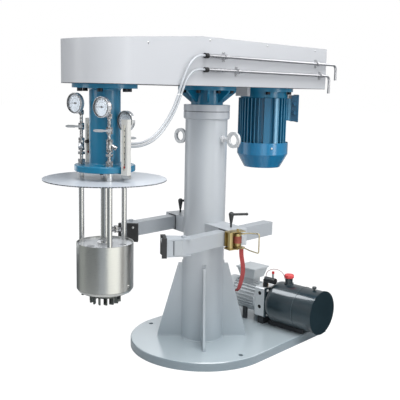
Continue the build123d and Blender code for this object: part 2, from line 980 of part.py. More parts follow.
def pump_impeller():
    """Toothed ring under the screen, screwed to the end of the spindle."""
    under = impeller_plate - impeller_plate_t
    half = impeller_tooth / 2
    body = cylinder(impeller_d, under, impeller_plate)
    body += cylinder(impeller_hub_d, under - impeller_hub_h, under)
    vane = Rot(0, 0, impeller_vane_turn) * block(-impeller_vane / 2, impeller_vane / 2, -half, half,
                                                 under - impeller_vane_h, under)
    for i in range(impeller_teeth):
        body += Rot(0, 0, 360 * i / impeller_teeth) * Pos((impeller_d - impeller_vane) / 2, 0, 0) * vane
    body -= cylinder(spindle_low_d + 2 * shaft_fit, impeller_plate - spindle_seat, impeller_plate + through)
    return [Pos(head_x, 0, 0) * body]


# Gauges, pipework and flow meters on the head
def on_head(place):
    return head_x + place[0], place[1]


def gauge_places():
    """Centre of the front of each gauge: left, middle, right."""
    right_x, right_y = on_head(right_stack)
    left_x, left_y = on_head(left_stack)
    middle_x, middle_y = on_head(middle_stack)
    return (stepped(left_x, left_y, left_gauge_z, gauge_az, left_gauge_reach),
            stepped(middle_x, middle_y, middle_gauge_z, gauge_az, middle_gauge_reach),
            stepped(right_x, right_y, right_gauge_z, gauge_az, gauge_depth / 2))


def gauge_plane(place):
    """Plane of a gauge's front, with its own +X to the reader's left."""
    front = heading(gauge_az)
    left = heading(gauge_az - 90)
    return Plane(origin=place, x_dir=(left[0], left[1], 0), z_dir=(front[0], front[1], 0))


def gauge_cases():
    cases = []
    for place in gauge_places():
        plane = gauge_plane(place)
        case = extrude(plane * Circle(gauge_d / 2), -gauge_depth)
        case = chamfer(case.edges().filter_by(GeomType.CIRCLE), gauge_edge)
        cases.append(case - extrude(plane * Circle(gauge_dial_d / 2), -gauge_dial_depth))
    return cases


def gauge_needle(place):
    plane = gauge_plane(place).offset(curved_gap - gauge_dial_depth)
    tail = -needle_length / 3
    pointer = Polygon((tail, -needle_width / 2), (needle_length, -needle_tip / 2),
                      (needle_length, needle_tip / 2), (tail, needle_width / 2), align=None)
    return [extrude(plane * (pointer + Circle(needle_hub_d / 2)), needle_t)]


def strainer(x, y, az):
    """Strainer body with nuts, and its slanted screen cap in the direction az."""
    low = strainer_bottom + strainer_nut_h
    high = strainer_top - strainer_nut_h
    mid = (low + high) / 2
    body = cylinder(strainer_d, low, high, x, y)
    body += hexagon(strainer_d, strainer_bottom, low, x, y)
    body += hexagon(strainer_d, high, strainer_top, x, y)
    cap_end = stepped(x, y, mid - strainer_drop / 2, az, strainer_branch)
    return body + bar((x, y, mid + strainer_drop / 4), cap_end, strainer_branch_d)


def valve_body(x, y, z):
    """Ball valve body with the stem that carries its lever, towards the front."""
    half = valve_body_h / 2
    body = hexagon(valve_nut_af, z - half, z + half, x, y)
    body += cylinder(valve_body_d, z - half / 2, z + half / 2, x, y)
    return body + bar((x, y, z), stepped(x, y, z, view_az, valve_body_d / 2 + valve_stem_length), valve_stem_d)


def valve_lever(stack, z, turn, length):
    """Lever in front of a valve stem, pointing to turn degrees from the stem's heading."""
    x, y = on_head(stack)
    seat = stepped(x, y, z, view_az, valve_body_d / 2 + valve_stem_length + curved_gap)
    along = heading(view_az + turn)
    out = heading(view_az)
    plane = Plane(origin=seat, x_dir=(along[0], along[1], 0), z_dir=(out[0], out[1], 0))
    plate = Pos(length / 2, 0) * SlotOverall(length + lever_width, lever_width) + Circle(lever_hub_d / 2)
    grip = Pos(length * 2 / 3, 0) * SlotOverall(length * 2 / 3, lever_grip_w)
    return [extrude(plane * plate, lever_t) + extrude(plane * grip, lever_grip_t)]


def long_stack(stack, gauge_z, valve_z, reach, branch_az):
    """Riser with foot nut, union, strainer, valve and the gauge's side entry."""
    x, y = on_head(stack)
    riser = cylinder(pipe_d, head_foot_top, gauge_z, x, y)
    riser += hexagon(union_af, head_foot_top, head_foot_top + union_h, x, y)
    riser += hexagon(union_af, strainer_bottom - union_gap - union_h / 2, strainer_bottom - union_gap, x, y)
    riser += strainer(x, y, branch_az)
    riser += valve_body(x, y, valve_z)
    nut_low = gauge_z - gauge_nut_drop
    riser += hexagon(gauge_nut_af, nut_low, nut_low + gauge_nut_h, x, y)
    riser += cylinder(gauge_tee_d, gauge_z - gauge_tee_h / 2, gauge_z + gauge_tee_h / 2, x, y)
    return riser + bar((x, y, gauge_z), stepped(x, y, gauge_z, gauge_az, reach - gauge_depth), pipe_d)


def short_stack():
    """Riser with a valve, two hose tails and a gauge on its top."""
    x, y = on_head(right_stack)
    riser = cylinder(pipe_d, head_foot_top, right_gauge_z - gauge_d / 2, x, y)
    riser += hexagon(union_af, head_foot_top, head_foot_top + union_h, x, y)
    riser += valve_body(x, y, right_valve_z)
    for z in (upper_tail_z, lower_tail_z):
        riser += bar((x, y, z), tail_end(z), hose_tail_d)
    return riser


def tail_end(z, beyond=0):
    """End of a hose tail, or a point beyond it on its axis."""
    x, y = on_head(right_stack)
    return stepped(x, y, z, view_az + 90, pipe_d / 2 + hose_tail_length + beyond)


def bead_valve():
    """Filling valve for the grinding beads, on the right tie tube."""
    x, y = tie_points()[0]
    az = view_az - 90
    z = bead_valve_z
    start = tie_d / 2 + weld_gap
    end = start + bead_valve_length
    cup_x, cup_y, cup_z = stepped(x, y, z, az, (start + end) / 2)
    body = bar(stepped(x, y, z, az, start), stepped(x, y, z, az, end), bead_valve_d)
    body += bar(stepped(x, y, z, az, end - bead_nut_l), stepped(x, y, z, az, end), bead_nut_d)
    return body + cylinder(bead_cup_d, cup_z - bead_cup_low, cup_z + bead_cup_high, cup_x, cup_y)


def pipe_stacks():
    return [long_stack(left_stack, left_gauge_z, left_valve_z, left_gauge_reach, view_az),
            long_stack(middle_stack, middle_gauge_z, middle_valve_z, middle_gauge_reach, view_az + 90),
            short_stack(), bead_valve()]


def meter(place, low, high):
    """Flow meter block with a window groove and a foot, turned like the gauges."""
    x, y = on_head(place)
    half_d = meter_depth / 2
    half_w = meter_w / 2
    half_window = meter_window_w / 2
    foot_w = half_w + meter_foot_rim
    body = block(-half_d, half_d, -half_w, half_w, low, high)
    body -= block(half_d - meter_window_depth, half_d + through, -half_window, half_window,
                  low + meter_window_end, high - meter_window_end)
    body += block(meter_foot_rim - half_d, half_d - meter_foot_rim, -foot_w, foot_w, low - meter_foot_h, low)
    return Pos(x, y, 0) * Rot(0, 0, gauge_az) * body


def rotameters():
    """Two flow meters: one on a bracket at the foot's rim, one standing on the foot."""
    x, y = on_head(front_meter)
    z = head_foot_top - head_foot_t / 2
    foot = cylinder(head_foot_d + 2 * weld_gap, z - meter_bracket_d, z + meter_bracket_d, head_x)
    bracket = bar((x, y, z), (head_x, 0, z), meter_bracket_d)
    return [meter(front_meter, meter_bottom, meter_top) + (bracket - foot),
            meter(rear_meter, head_foot_top + meter_foot_h, rear_meter_top)]


def rotameter_knob():
    x, y = on_head(rear_meter)
    start = meter_depth / 2 + curved_gap
    return [bar(stepped(x, y, knob_z, gauge_az, start), stepped(x, y, knob_z, gauge_az, start + knob_length),
                knob_d)]


# Wash lances clipped to the side of the hood
def lance_y():
    return -hood_half_width - lance_gap


def lance(z, end_x, drop, clips):
    """Bent pipe with its sleeve and the clips that hold it to the hood."""
    y = lance_y()
    side_y = -hood_half_width
    start_x = lance_front_x + cap_length
    path = FilletPolyline((start_x, y, z), (end_x, y, z), (end_x, y, z - drop), radius=lance_bend)
    pipe = sweep(Plane(origin=(start_x, y, z), z_dir=(1, 0, 0)) * Circle(lance_d / 2), path=path)
    pipe += bar((start_x, y, z), (lance_sleeve_end_x, y, z), lance_sleeve_d)
    for x in clips:
        x0 = x - clip_w / 2
        x1 = x + clip_w / 2
        pipe += bar((x0, y, z), (x1, y, z), lance_sleeve_d + 2 * clip_t)
        pipe += block(x0, x1, y, side_y, z - clip_stem / 2, z + clip_stem / 2)
        pipe += block(x0, x1, side_y - clip_t, side_y, z - clip_tab, z + clip_tab)
    return pipe


def lances():
    y = lance_y()
    pieces = [lance(upper_lance_z, upper_lance_end_x, upper_lance_drop, upper_clips),
              lance(lower_lance_z, lower_lance_end_x, lower_lance_drop, lower_clips)]
    for z in (upper_lance_z, lower_lance_z):
        pieces.append(bar((lance_front_x, y, z), (lance_front_x + cap_length, y, z), cap_d))
    return pieces


# Vessel clamp: skewed crossbar, sliding arms, swivelling pads and clamping levers
def clamp_crossbar():
    half_h = arm_h / 2 + crossbar_wall
    half_w = arm_w / 2 + flat_gap
    beam = Rot(0, 0, -clamp_skew) * block(-crossbar_w / 2, crossbar_w / 2, -crossbar_half_length,
                                          crossbar_half_length, arm_z - half_h, arm_z + half_h)
    beam -= cylinder(column_d + 2 * weld_gap, arm_z - 2 * half_h, arm_z + 2 * half_h)
    for y in (-arm_y, arm_y):
        beam -= block(-crossbar_half_length, crossbar_half_length, y - half_w, y + half_w,
                      arm_z - arm_h / 2 - flat_gap, arm_z + arm_h / 2 + flat_gap)
    return [beam]


def clamp_arm(pivot_x, side):
    """Hollow arm along X, round at the pad's pivot and chamfered outside; side is -1 for the front one."""
    y = side * arm_y
    half = arm_w / 2
    low = arm_z - arm_h / 2
    tail_x = pivot_x + arm_tail
    nose_x = pivot_x - arm_nose
    corner_x = pivot_x - arm_chamfer_start
    slant = heading(180 + side * pad_aim, 2 * arm_nose)
    outer_y = y + side * half
    outline = Pos((nose_x + tail_x) / 2, y) * Rectangle(tail_x - nose_x, arm_w)
    square_end = Pos((nose_x + pivot_x) / 2, y) * Rectangle(arm_nose, arm_w)
    outline -= square_end - Pos(pivot_x, y) * Circle(arm_nose)
    outline -= Polygon((corner_x, outer_y), (corner_x + slant[0], outer_y + slant[1]),
                       (corner_x + slant[0], outer_y + side * arm_w), (corner_x, outer_y + side * arm_w),
                       align=None)
    arm = Pos(0, 0, low) * extrude(outline, arm_h)
    arm -= block(pivot_x + arm_core_start, tail_x - arm_wall, y - half + arm_wall, y + half - arm_wall,
                 low + arm_wall, low + arm_h - arm_wall)
    return [arm - cylinder(pivot_pin_d + 2 * shaft_fit, low - through, low + arm_h + through, pivot_x, y)]


def aimed(pivot_x, side):
    """Frame of a pad holder, with its own +X towards the vessel."""
    return Pos(pivot_x, side * arm_y, 0) * Rot(0, 0, 180 + side * pad_aim)


def pad_holder(pivot_x, side):
    """U-shaped holder and the pin through the arm's nose."""
    low = arm_z - arm_h / 2 - flat_gap - holder_flange
    high = arm_z + arm_h / 2 + flat_gap + holder_flange
    half = holder_w / 2
    holder = block(holder_reach, holder_reach + holder_web, -half, half, low, high)
    flange = Polygon((-holder_back, -holder_back), (holder_reach, -half), (holder_reach, half),
                     (-holder_back, holder_back), align=None)
    for z in (low, high - holder_flange):
        holder += Pos(0, 0, z) * extrude(flange, holder_flange)
    holder -= cylinder(pivot_pin_d + 2 * shaft_fit, low - through, high + through)
    pin = cylinder(pivot_pin_d, low, high)
    pin += hexagon(pivot_nut_af, high, high + pivot_nut_h)
    pin += hexagon(pivot_nut_af, low - pivot_nut_h, low)
    return [aimed(pivot_x, side) * holder, aimed(pivot_x, side) * pin]


def pad(pivot_x, side):
    """Rubber pad with a shallow V for the vessel's wall."""
    near = holder_reach + holder_web
    far = near + pad_t
    half = holder_w / 2
    outline = Polygon((near, -half), (far, -half), (far - pad_vee, 0), (far, half), (near, half), align=None)
    return [aimed(pivot_x, side) * Pos(0, 0, arm_z - pad_h / 2) * extrude(outline, pad_h)]


def clamp_lever(side):
    """Clamping lever that stands on the crossbar over an arm."""
    x = side * arm_y * math.tan(math.radians(clamp_skew))
    y = side * arm_y
    top = arm_z + arm_h / 2 + crossbar_wall
    hub_low = top + clamp_hub_z
    hub_top = hub_low + clamp_hub_h
    end = stepped(x, y, hub_top + clamp_lever_rise, clamp_lever_az, clamp_lever_length)
    lever = Pos(x, y, (hub_low + hub_top) / 2) * Cone(clamp_hub_low_d / 2, clamp_hub_d / 2, clamp_hub_h)
    lever += Pos(x, y, hub_top) * Sphere(clamp_hub_d / 2)
    lever += cylinder(clamp_bolt_d, top + curved_gap, hub_low + clamp_hub_h / 4, x, y)
    lever += bar((x, y, hub_top), end, clamp_lever_d)
    return [lever + Pos(*end) * Sphere(clamp_lever_d / 2 + through)]


# Strap winder on the crossbar's near end, its bail handle and the strap
def skewed(shape):
    return Rot(0, 0, -clamp_skew) * shape


def drum_place():
    centre = Vector(drum_u, -crossbar_half_length - drum_off, 0).rotate(Axis.Z, -clamp_skew)
    return centre.X, centre.Y


def ear_levels():
    """Lower faces of the two bail ears."""
    inset = winder_plate + bail_ear_gap
    return winder_low + inset, winder_low + winder_h - inset - bail_ear_t


def ratchet_frame():
    """Plated frame seated on the crossbar's end, with its drum, axle and strap post."""
    high = winder_low + winder_h
    face = -crossbar_half_length
    v = face - drum_off
    u0 = drum_u - winder_left
    u1 = drum_u + winder_right
    ear_low, ear_high = ear_levels()
    frame = block(u0, u1, face - winder_plate, face, winder_low, high)
    for z in (winder_low, high - winder_plate):
        frame += block(u0, u1, face - winder_depth, face, z, z + winder_plate)
    frame += cylinder(post_d, winder_low, high, drum_u + post_u, v)
    frame += cylinder(drum_axle_d, winder_low - drum_axle_end, high + drum_axle_end, drum_u, v)
    frame += cylinder(drum_d, ear_low + bail_ear_t + flat_gap, ear_high - flat_gap, drum_u, v)
    frame -= block(u0 - through, u1 + through, face - winder_plate, face + through,
                   ear_low - flat_gap, ear_low + bail_ear_t + flat_gap)
    return [skewed(frame)]


def ratchet_handle():
    """Two ears on the drum's axle and the flared wire bail between them."""
    x, y = drum_place()
    ear_low, ear_high = ear_levels()
    half_t = bail_ear_t / 2
    low = ear_low + half_t
    high = ear_high + half_t
    near = y - bail_ear_length + bail_wire_d
    tip = y - bail_reach
    mid = y - bail_mid
    path = FilletPolyline(
        (x, near, low), (x, mid, low - bail_flare * 2 / 3), (x, tip, low - bail_flare),
        (x, tip, high + bail_flare), (x, mid, high + bail_flare * 2 / 3), (x, near, high),
        radius=[bail_bow, bail_corner, bail_corner, bail_bow])
    bail = sweep(Plane(origin=(x, near, low), z_dir=path % 0) * Circle(bail_wire_d / 2), path=path)
    for z in (ear_low, ear_high):
        ear = Pos(x, y - bail_ear_length / 2) * SlotOverall(bail_ear_length + bail_ear_w, bail_ear_w, 90)
        bail += Pos(0, 0, z) * extrude(ear, bail_ear_t)
    hole_d = drum_axle_d + 2 * shaft_fit
    return [bail - cylinder(hole_d, winder_low, winder_low + winder_h, x, y)]


# Hydraulic power unit beside the column
def along_y(d, y0, y1):
    return bar((unit_x, y0, unit_z), (unit_x, y1, unit_z), d)


def hpu_tank():
    """Tank with seam, rim, front plate, corner screws, filler neck and bleed knob."""
    tank_top = unit_z + tank_d / 2
    half = tank_plate / 2
    plate_y = tank_front_y + tank_plate_t
    tank = along_y(tank_d, tank_front_y, tank_end_y)
    tank = fillet(tank.edges().filter_by(GeomType.CIRCLE).sort_by(Axis.Y)[-1], tank_round)
    tank += along_y(tank_d + 2 * tank_rim_h, tank_end_y + tank_rim_w, tank_end_y)
    tank += along_y(tank_d + 2 * tank_seam_h, tank_seam_y, tank_seam_y - tank_seam_w)
    tank += block(unit_x - half, unit_x + half, tank_front_y, plate_y, unit_z - half, unit_z + half)
    tank += cylinder(neck_d, tank_top - neck_sink, tank_top + neck_h, unit_x, neck_y)
    tank += cylinder(neck_d + 2 * neck_collar, tank_top - neck_sink, tank_top + neck_collar, unit_x, neck_y)
    reach = half - tank_bolt_inset
    for x in (unit_x - reach, unit_x + reach):
        for z in (unit_z - reach, unit_z + reach):
            tank += bar((x, plate_y, z), (x, tank_front_y - tank_bolt_h, z), tank_bolt_d)
    knob_low = tank_top + bleed_stem_h
    knob = cylinder(bleed_stem_d, tank_top - through, knob_low, unit_x, bleed_y)
    knob += cylinder(bleed_d, knob_low, knob_low + bleed_knob_h, unit_x, bleed_y)
    return [tank, knob - along_y(tank_d + 2 * weld_gap, tank_front_y, tank_end_y)]


def filler_cap():
    low = unit_z + tank_d / 2 + neck_h + curved_gap
    cap = cylinder(filler_cap_d, low, low + filler_cap_h, unit_x, neck_y)
    return [chamfer(cap.edges().filter_by(GeomType.CIRCLE), filler_cap_edge)]


def manifold_y():
    return tank_front_y + tank_plate_t


def hpu_manifold():
    """Pump block with two plugged ports, its brass cartridge valve, and the release coil."""
    y0 = manifold_y()
    y1 = y0 + block_t
    mid_y = (y0 + y1) / 2
    half = block_w / 2
    side = unit_x - half
    top = unit_z + half
    body = block(side, unit_x + half, y0, y1, unit_z - half, top)
    body = chamfer(body.edges().filter_by(Axis.Y), block_edge)
    for z in (port_low_z, port_high_z):
        seat = (side + plug_inset, mid_y, z)
        body -= bar((side - through, mid_y, z), seat, port_d)
        socket = Plane(origin=seat, z_dir=(1, 0, 0)) * RegularPolygon(plug_socket_af / 2, 6, major_radius=False)
        body -= extrude(socket, plug_socket_depth)
    brass = hexagon(cartridge_nut_af, top, top + cartridge_nut_h, cartridge_x, mid_y)
    brass += cylinder(cartridge_d, top, top + cartridge_h, cartridge_x, mid_y)
    brass += hexagon(cartridge_cap_af, top + cartridge_h, top + cartridge_h + cartridge_cap_h, cartridge_x, mid_y)
    coil = bar((coil_x, coil_front_y, coil_z), (coil_x, coil_back_y, coil_z), coil_d)
    foot = coil_foot_w / 2
    coil += block(coil_x - foot, coil_x + foot, coil_front_y - coil_foot_w / 2, coil_front_y + foot, top, coil_z)
    stem_top = coil_z + coil_stem_h
    coil += cylinder(coil_stem_d, coil_z, stem_top, coil_x, coil_stem_y)
    coil += cylinder(coil_knob_d, stem_top, stem_top + coil_knob_h, coil_x, coil_stem_y)
    return [body, brass, coil]


def hpu_motor():
    """Finned pump motor with its shield and fan cover, and the terminal box with its lid."""
    y0 = manifold_y() + block_t
    y1 = y0 + pump_motor_length
    outline = finned(pump_core_d, pump_motor_d, pump_fin_t, pump_fin_count)
    plane = Plane(origin=(unit_x, y0 + pump_shield_t, unit_z), z_dir=(0, 1, 0))
    frame = extrude(plane * outline, pump_motor_length - pump_shield_t - pump_cover_length)
    frame += along_y(pump_motor_d, y0, y0 + pump_shield_t)
    cover = along_y(pump_motor_d + 2 * pump_cover_rim, y1 - pump_cover_length, y1)
    cover = fillet(cover.edges().filter_by(GeomType.CIRCLE).sort_by(Axis.Y)[-1], pump_cover_round)
    half = terminal_w / 2
    inner = half - terminal_rim
    neck = inner - terminal_neck
    end_y = terminal_y + terminal_l
    frame += block(unit_x - neck, unit_x + neck, terminal_y + terminal_neck, end_y - terminal_neck,
                   unit_z, terminal_low_z)
    box = Plane(origin=(unit_x, (terminal_y + end_y) / 2, terminal_lid_z), x_dir=(1, 0, 0), z_dir=(0, 0, -1))
    frame += extrude(box * Rectangle(2 * inner, terminal_l - 2 * terminal_rim),
                     terminal_lid_z - terminal_low_z, taper=terminal_taper)
    lid = block(unit_x - half, unit_x + half, terminal_y, end_y, terminal_lid_z, terminal_lid_z + terminal_lid)
    return [frame + cover, lid]


def hpu_mounts():
    """Rails under the tank, rubber feet under the motor, and the foot of the pump block."""
    tank = along_y(tank_d + 2 * weld_gap, 0, tank_end_y)
    seam = along_y(tank_d + 2 * tank_seam_h + 2 * weld_gap, tank_seam_y + weld_gap,
                   tank_seam_y - tank_seam_w - weld_gap)
    motor = along_y(pump_motor_d + 2 * weld_gap, manifold_y() + block_t, -tank_end_y)
    pieces = []
    for side in (-1, 1):
        x = unit_x + side * rail_offset
        rail = block(x - rail_w / 2, x + rail_w / 2, rail_end_gap - plate_half_width, tank_front_y,
                     plate_thickness, unit_z - tank_d / 2 + foot_rise)
        pieces.append(rail - tank - seam)
        foot = cylinder(foot_d, plate_thickness, unit_z - pump_core_d / 2 + foot_rise,
                        unit_x + side * foot_offset, foot_y)
        pieces.append(foot - motor)
    half = block_w / 2 - tank_bolt_inset
    pieces.append(block(unit_x - half, unit_x + half, manifold_y() + tank_bolt_inset,
                        manifold_y() + block_t - tank_bolt_inset, plate_thickness, unit_z - block_w / 2))
    return pieces


# Cords: straight runs joined by arcs as large as the two runs beside each point allow
def cord_path(points):
    vectors = [Vector(*point) for point in points]
    radii = []
    for before, here, after in zip(vectors, vectors[1:], vectors[2:]):
        turn = math.radians((here - before).get_angle(after - here))
        shorter = min((here - before).length, (after - here).length)
        radii.append(arc_share * shorter / math.tan(turn / 2))
    return FilletPolyline(*vectors, radius=radii), radii


def cord(name, points, section, area):
    """Sweep a section along a cord's points, and print its arcs and volume."""
    path, radii = cord_path(points)
    across = heading(strap_az)
    tube = sweep(Plane(origin=points[0], z_dir=path % 0, x_dir=(across[0], across[1], 0)) * section, path=path)
    share = tube.volume / (area * path.length)
    print(name, "length", round(path.length), "volume share", round(share, 4), "radii", [round(r) for r in radii])
    return [tube]


def hose(name, points):
    return cord(name, points, Circle(hose_d / 2), math.pi * hose_d ** 2 / 4)


upper_hose_points = [
    (lance_front_x, lance_y(), upper_lance_z),
    (-292, lance_y(), upper_lance_z),
    (-338, -207, 1507),
    (-374, -207, 1463),
    (-402, -205, 1406),
    (-422, -201, 1346),
    (-448, -197, 1288),
    (-486, -194, 1234),
    (-532, -193, 1188),
    (-583, -189, 1153),
    tail_end(upper_tail_z, tail_run),
    tail_end(upper_tail_z)]

lower_hose_points = [
    (lance_front_x, lance_y(), lower_lance_z),
    (-290, lance_y(), lower_lance_z),
    (-328, -207, 1460),
    (-362, -207, 1434),
    (-388, -205, 1393),
    (-407, -201, 1340),
    (-435, -197, 1279),
    (-476, -194, 1222),
    (-522, -193, 1175),
    (-578, -189, 1139),
    tail_end(lower_tail_z, tail_run),
    tail_end(lower_tail_z)]

strap_points = [
    (-67, -312, winder_low),
    (-67, -312, 568),
    (-56, -312, 530),
    (-34, -301, 489),
    (-5, -277, 449),
    (26, -247, 412),
    (59, -215, 378),
    (94, -181, 347),
    (130, -148, 319),
    (163, -112, 295),
    (190, -78, 273)]

wire_points = [
    (430, -105, 314),
    (430, -105, 330),
    (433, -113, 348),
    (439, -131, 361),
    (446, -155, 367),
    (452, -179, 364),
    (456, -199, 354),
    (458, -212, 338),
    (459, -215.5, 323),
    (459.5, -221, 312),
    (459.5, -221, 302)]


os.makedirs("parts", exist_ok=True)

write("base_plate", base_plate())
write("column_tube", column_tube())
write("column_collar", column_collar())
write("eye_bolts", eye_bolts())
write("lift_cylinder", lift_cylinder())
write("ram", ram())
write("ram_flange", ram_flange())
write("beam_plate", beam_plate())
write("hood_shell", hood_shell())
write("spindle_pulley", [pulley(spindle_pulley_d, spindle_d(), head_x)])
write("motor_pulley", [pulley(motor_pulley_d, motor_shaft_d, motor_x)])
write("drive_belts", drive_belts())
write("spindle_shaft", spindle_shaft())
write("motor_shaft", motor_shaft())
write("motor_frame", motor_frame())
write("motor_flange", motor_flange())
write("fan_cover", fan_cover())
write("motor_terminal_box", motor_terminal_box())
write("head_housing", head_housing())
write("spindle_bearings", spindle_bearings())
write("head_bolts", head_bolts())
write("tie_tubes", tie_tubes())
write("splash_disc", splash_disc())
write("shaft_sleeve", shaft_sleeve())
write("basket_shell", basket_shell())
write("basket_lid", basket_lid())
write("basket_screen", basket_screen())
write("agitator", agitator())
write("pump_impeller", pump_impeller())
write("gauge_cases", gauge_cases())
for name, place in zip(("left", "middle", "right"), gauge_places()):
    write(f"gauge_needle_{name}", gauge_needle(place))
write("pipe_stacks", pipe_stacks())
write("valve_lever_left", valve_lever(left_stack, left_valve_z, -90, lever_length))
write("valve_lever_middle", valve_lever(middle_stack, middle_valve_z, -90, lever_length))
write("valve_lever_right", valve_lever(right_stack, right_valve_z, 90, right_lever_length))
write("rotameters", rotameters())
write("rotameter_knob", rotameter_knob())
write("lances", lances())
write("clamp_crossbar", clamp_crossbar())
for name, pivot_x, side in (("front", front_arm_pivot_x, -1), ("rear", rear_arm_pivot_x, 1)):
    write(f"clamp_arm_{name}", clamp_arm(pivot_x, side))
    write(f"pad_holder_{name}", pad_holder(pivot_x, side))
    write(f"pad_{name}", pad(pivot_x, side))
    write(f"clamp_lever_{name}", clamp_lever(side))
write("ratchet_frame", ratchet_frame())
write("ratchet_handle", ratchet_handle())
write("hpu_tank", hpu_tank())
write("filler_cap", filler_cap())
write("hpu_manifold", hpu_manifold())
write("hpu_motor", hpu_motor())
write("hpu_mounts", hpu_mounts())
write("hose_upper", hose("hose_upper", upper_hose_points))
write("hose_lower", hose("hose_lower", lower_hose_points))
write("strap", cord("strap", strap_points, Rectangle(strap_w, strap_t), strap_w * strap_t))
write("hpu_wire", cord("hpu_wire", wire_points, Circle(wire_d / 2), math.pi * wire_d ** 2 / 4))
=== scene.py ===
import bmesh
import bpy
import numpy as np
from mathutils import Matrix


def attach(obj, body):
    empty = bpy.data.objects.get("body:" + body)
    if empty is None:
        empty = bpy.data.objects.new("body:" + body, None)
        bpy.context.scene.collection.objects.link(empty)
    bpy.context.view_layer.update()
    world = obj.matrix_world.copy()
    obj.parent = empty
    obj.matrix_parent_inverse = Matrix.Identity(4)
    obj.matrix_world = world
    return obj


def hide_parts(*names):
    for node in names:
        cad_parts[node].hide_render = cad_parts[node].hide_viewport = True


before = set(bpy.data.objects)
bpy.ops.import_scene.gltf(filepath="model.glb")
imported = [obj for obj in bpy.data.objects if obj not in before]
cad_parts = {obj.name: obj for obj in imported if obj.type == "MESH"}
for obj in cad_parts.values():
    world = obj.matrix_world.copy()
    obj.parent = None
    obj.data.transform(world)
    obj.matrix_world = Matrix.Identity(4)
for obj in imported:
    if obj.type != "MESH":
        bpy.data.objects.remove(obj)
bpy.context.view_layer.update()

# Base plate
# A flame-cut steel plate 45 mm thick, round at the front and square at the rear, sprayed light grey.
# It lies flat on the floor and takes four anchor bolts; its side faces are painted in shade, a tone darker
# than the top.
PLATE_GREY = (178, 190, 196)
PLATE_EDGE_SHADE = (124, 138, 146)
PLATE_TOP = 0.045
PLATE_CHAMFER = 0.0015


def srgb(red, green, blue):
    """Linear colour of an 8-bit screen colour: ((c + 0.055) / 1.055) to the power 2.4."""
    linear = ((np.array([red, green, blue]) / 255 + 0.055) / 1.055) ** 2.4
    return (*linear.tolist(), 1.0)


class Value:
    """One output socket of a finish; sums, products and comparisons of values add Math nodes."""

    def __init__(self, finish, socket):
        self.finish = finish
        self.socket = socket

    def math(self, operation, first, second):
        return self.finish.add("ShaderNodeMath", {"operation": operation}, {0: first, 1: second})

    def __add__(self, other):
        return self.math("ADD", self, other)

    def __radd__(self, other):
        return self.math("ADD", other, self)

    def __sub__(self, other):
        return self.math("SUBTRACT", self, other)

    def __rsub__(self, other):
        return self.math("SUBTRACT", other, self)

    def __mul__(self, other):
        return self.math("MULTIPLY", self, other)

    def __rmul__(self, other):
        return self.math("MULTIPLY", other, self)

    def __mod__(self, other):
        return self.math("FLOORED_MODULO", self, other)

    def __abs__(self):
        return self.math("ABSOLUTE", self, 0.0)

    def __gt__(self, other):
        return self.math("GREATER_THAN", self, other)

    def __lt__(self, other):
        return self.math("LESS_THAN", self, other)


class Finish:
    """A material under construction, with one method that adds any node and returns its output."""

    def __init__(self, name):
        self.material = bpy.data.materials.new(name)
        self.material.use_nodes = True
        self.tree = self.material.node_tree
        self.tree.nodes.clear()
        self.place = self.add("ShaderNodeTexCoord", output="Object")
        self.x, self.y, self.z = self.parts(self.place)

    def add(self, kind, settings=None, inputs=None, output=0):
        node = self.tree.nodes.new(kind)
        for key, value in (settings or {}).items():
            setattr(node, key, value)
        for key, value in (inputs or {}).items():
            if isinstance(value, Value):
                self.tree.links.new(value.socket, node.inputs[key])
            else:
                node.inputs[key].default_value = value
        return Value(self, node.outputs[output]) if node.outputs else None

    def parts(self, vector):
        """The three parts of a vector, each a value."""
        split = self.add("ShaderNodeSeparateXYZ", {}, {0: vector}).socket.node
        return [Value(self, socket) for socket in split.outputs]

    def shares(self):
        """u and v of the piece's own UV map, each from 0 to 1."""
        return self.parts(self.add("ShaderNodeUVMap", {"uv_map": "shares"}))[:2]

    def noise(self, scale, stretch=(1, 1, 1), detail=3.0):
        """Noise from 0 to 1 with a feature size of about 1 / scale metres, stretched along the axes."""
        place = self.add("ShaderNodeMapping", {}, {0: self.place, 3: stretch})
        return self.add("ShaderNodeTexNoise", {}, {"Vector": place, "Scale": scale, "Detail": detail})

    def mixed(self, share, low, high):
        """Colour between low and high by a share, held within 0 and 1."""
        return self.add("ShaderNodeMix", {"data_type": "RGBA", "clamp_factor": True},
                        {0: share, 6: low, 7: high}, output=2)

    def bump(self, height, strength, distance):
        return self.add("ShaderNodeBump", {}, {"Strength": strength, "Distance": distance, "Height": height})

    def done(self, **inputs):
        """Close the finish with a Principled shader; a name's underscores stand for spaces."""
        shader = self.add("ShaderNodeBsdfPrincipled", {},
                          {key.replace("_", " "): value for key, value in inputs.items()})
        self.add("ShaderNodeOutputMaterial", {}, {"Surface": shader})
        return self.material


def painted(name, colour, roughness, coat=0.15, patch=None, patch_colour=None):
    """Sprayed paint: faint cloudy tone and orange peel. The share patch(finish) turns it to patch_colour."""
    finish = Finish(name)
    cloud = finish.noise(2.2)
    low = tuple(c * 0.93 for c in colour[:3]) + (1.0,)
    high = tuple(min(1.0, c * 1.05) for c in colour[:3]) + (1.0,)
    body = finish.mixed(cloud, low, high)
    if patch:
        body = finish.mixed(patch(finish), body, patch_colour)
    peel = finish.bump(finish.noise(420.0, detail=1.0), 0.05, 0.001)
    return finish.done(Base_Color=body, Roughness=roughness + 0.14 * (cloud - 0.5), Normal=peel,
                       Coat_Weight=coat, Coat_Roughness=0.2)


def dress(finish, *nodes):
    """Give CAD nodes a finish in all their material slots."""
    for node in nodes:
        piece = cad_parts[node]
        for holder in piece.material_slots:
            holder.material = finish
        if not piece.material_slots:
            piece.data.materials.append(finish)


# Painted shade: the side faces below the chamfer take the darker grey.
dress(painted("plate_paint", srgb(*PLATE_GREY), roughness=0.3, coat=1.0,
              patch=lambda finish: finish.z < PLATE_TOP - PLATE_CHAMFER, patch_colour=srgb(*PLATE_EDGE_SHADE)),
      "base_plate")
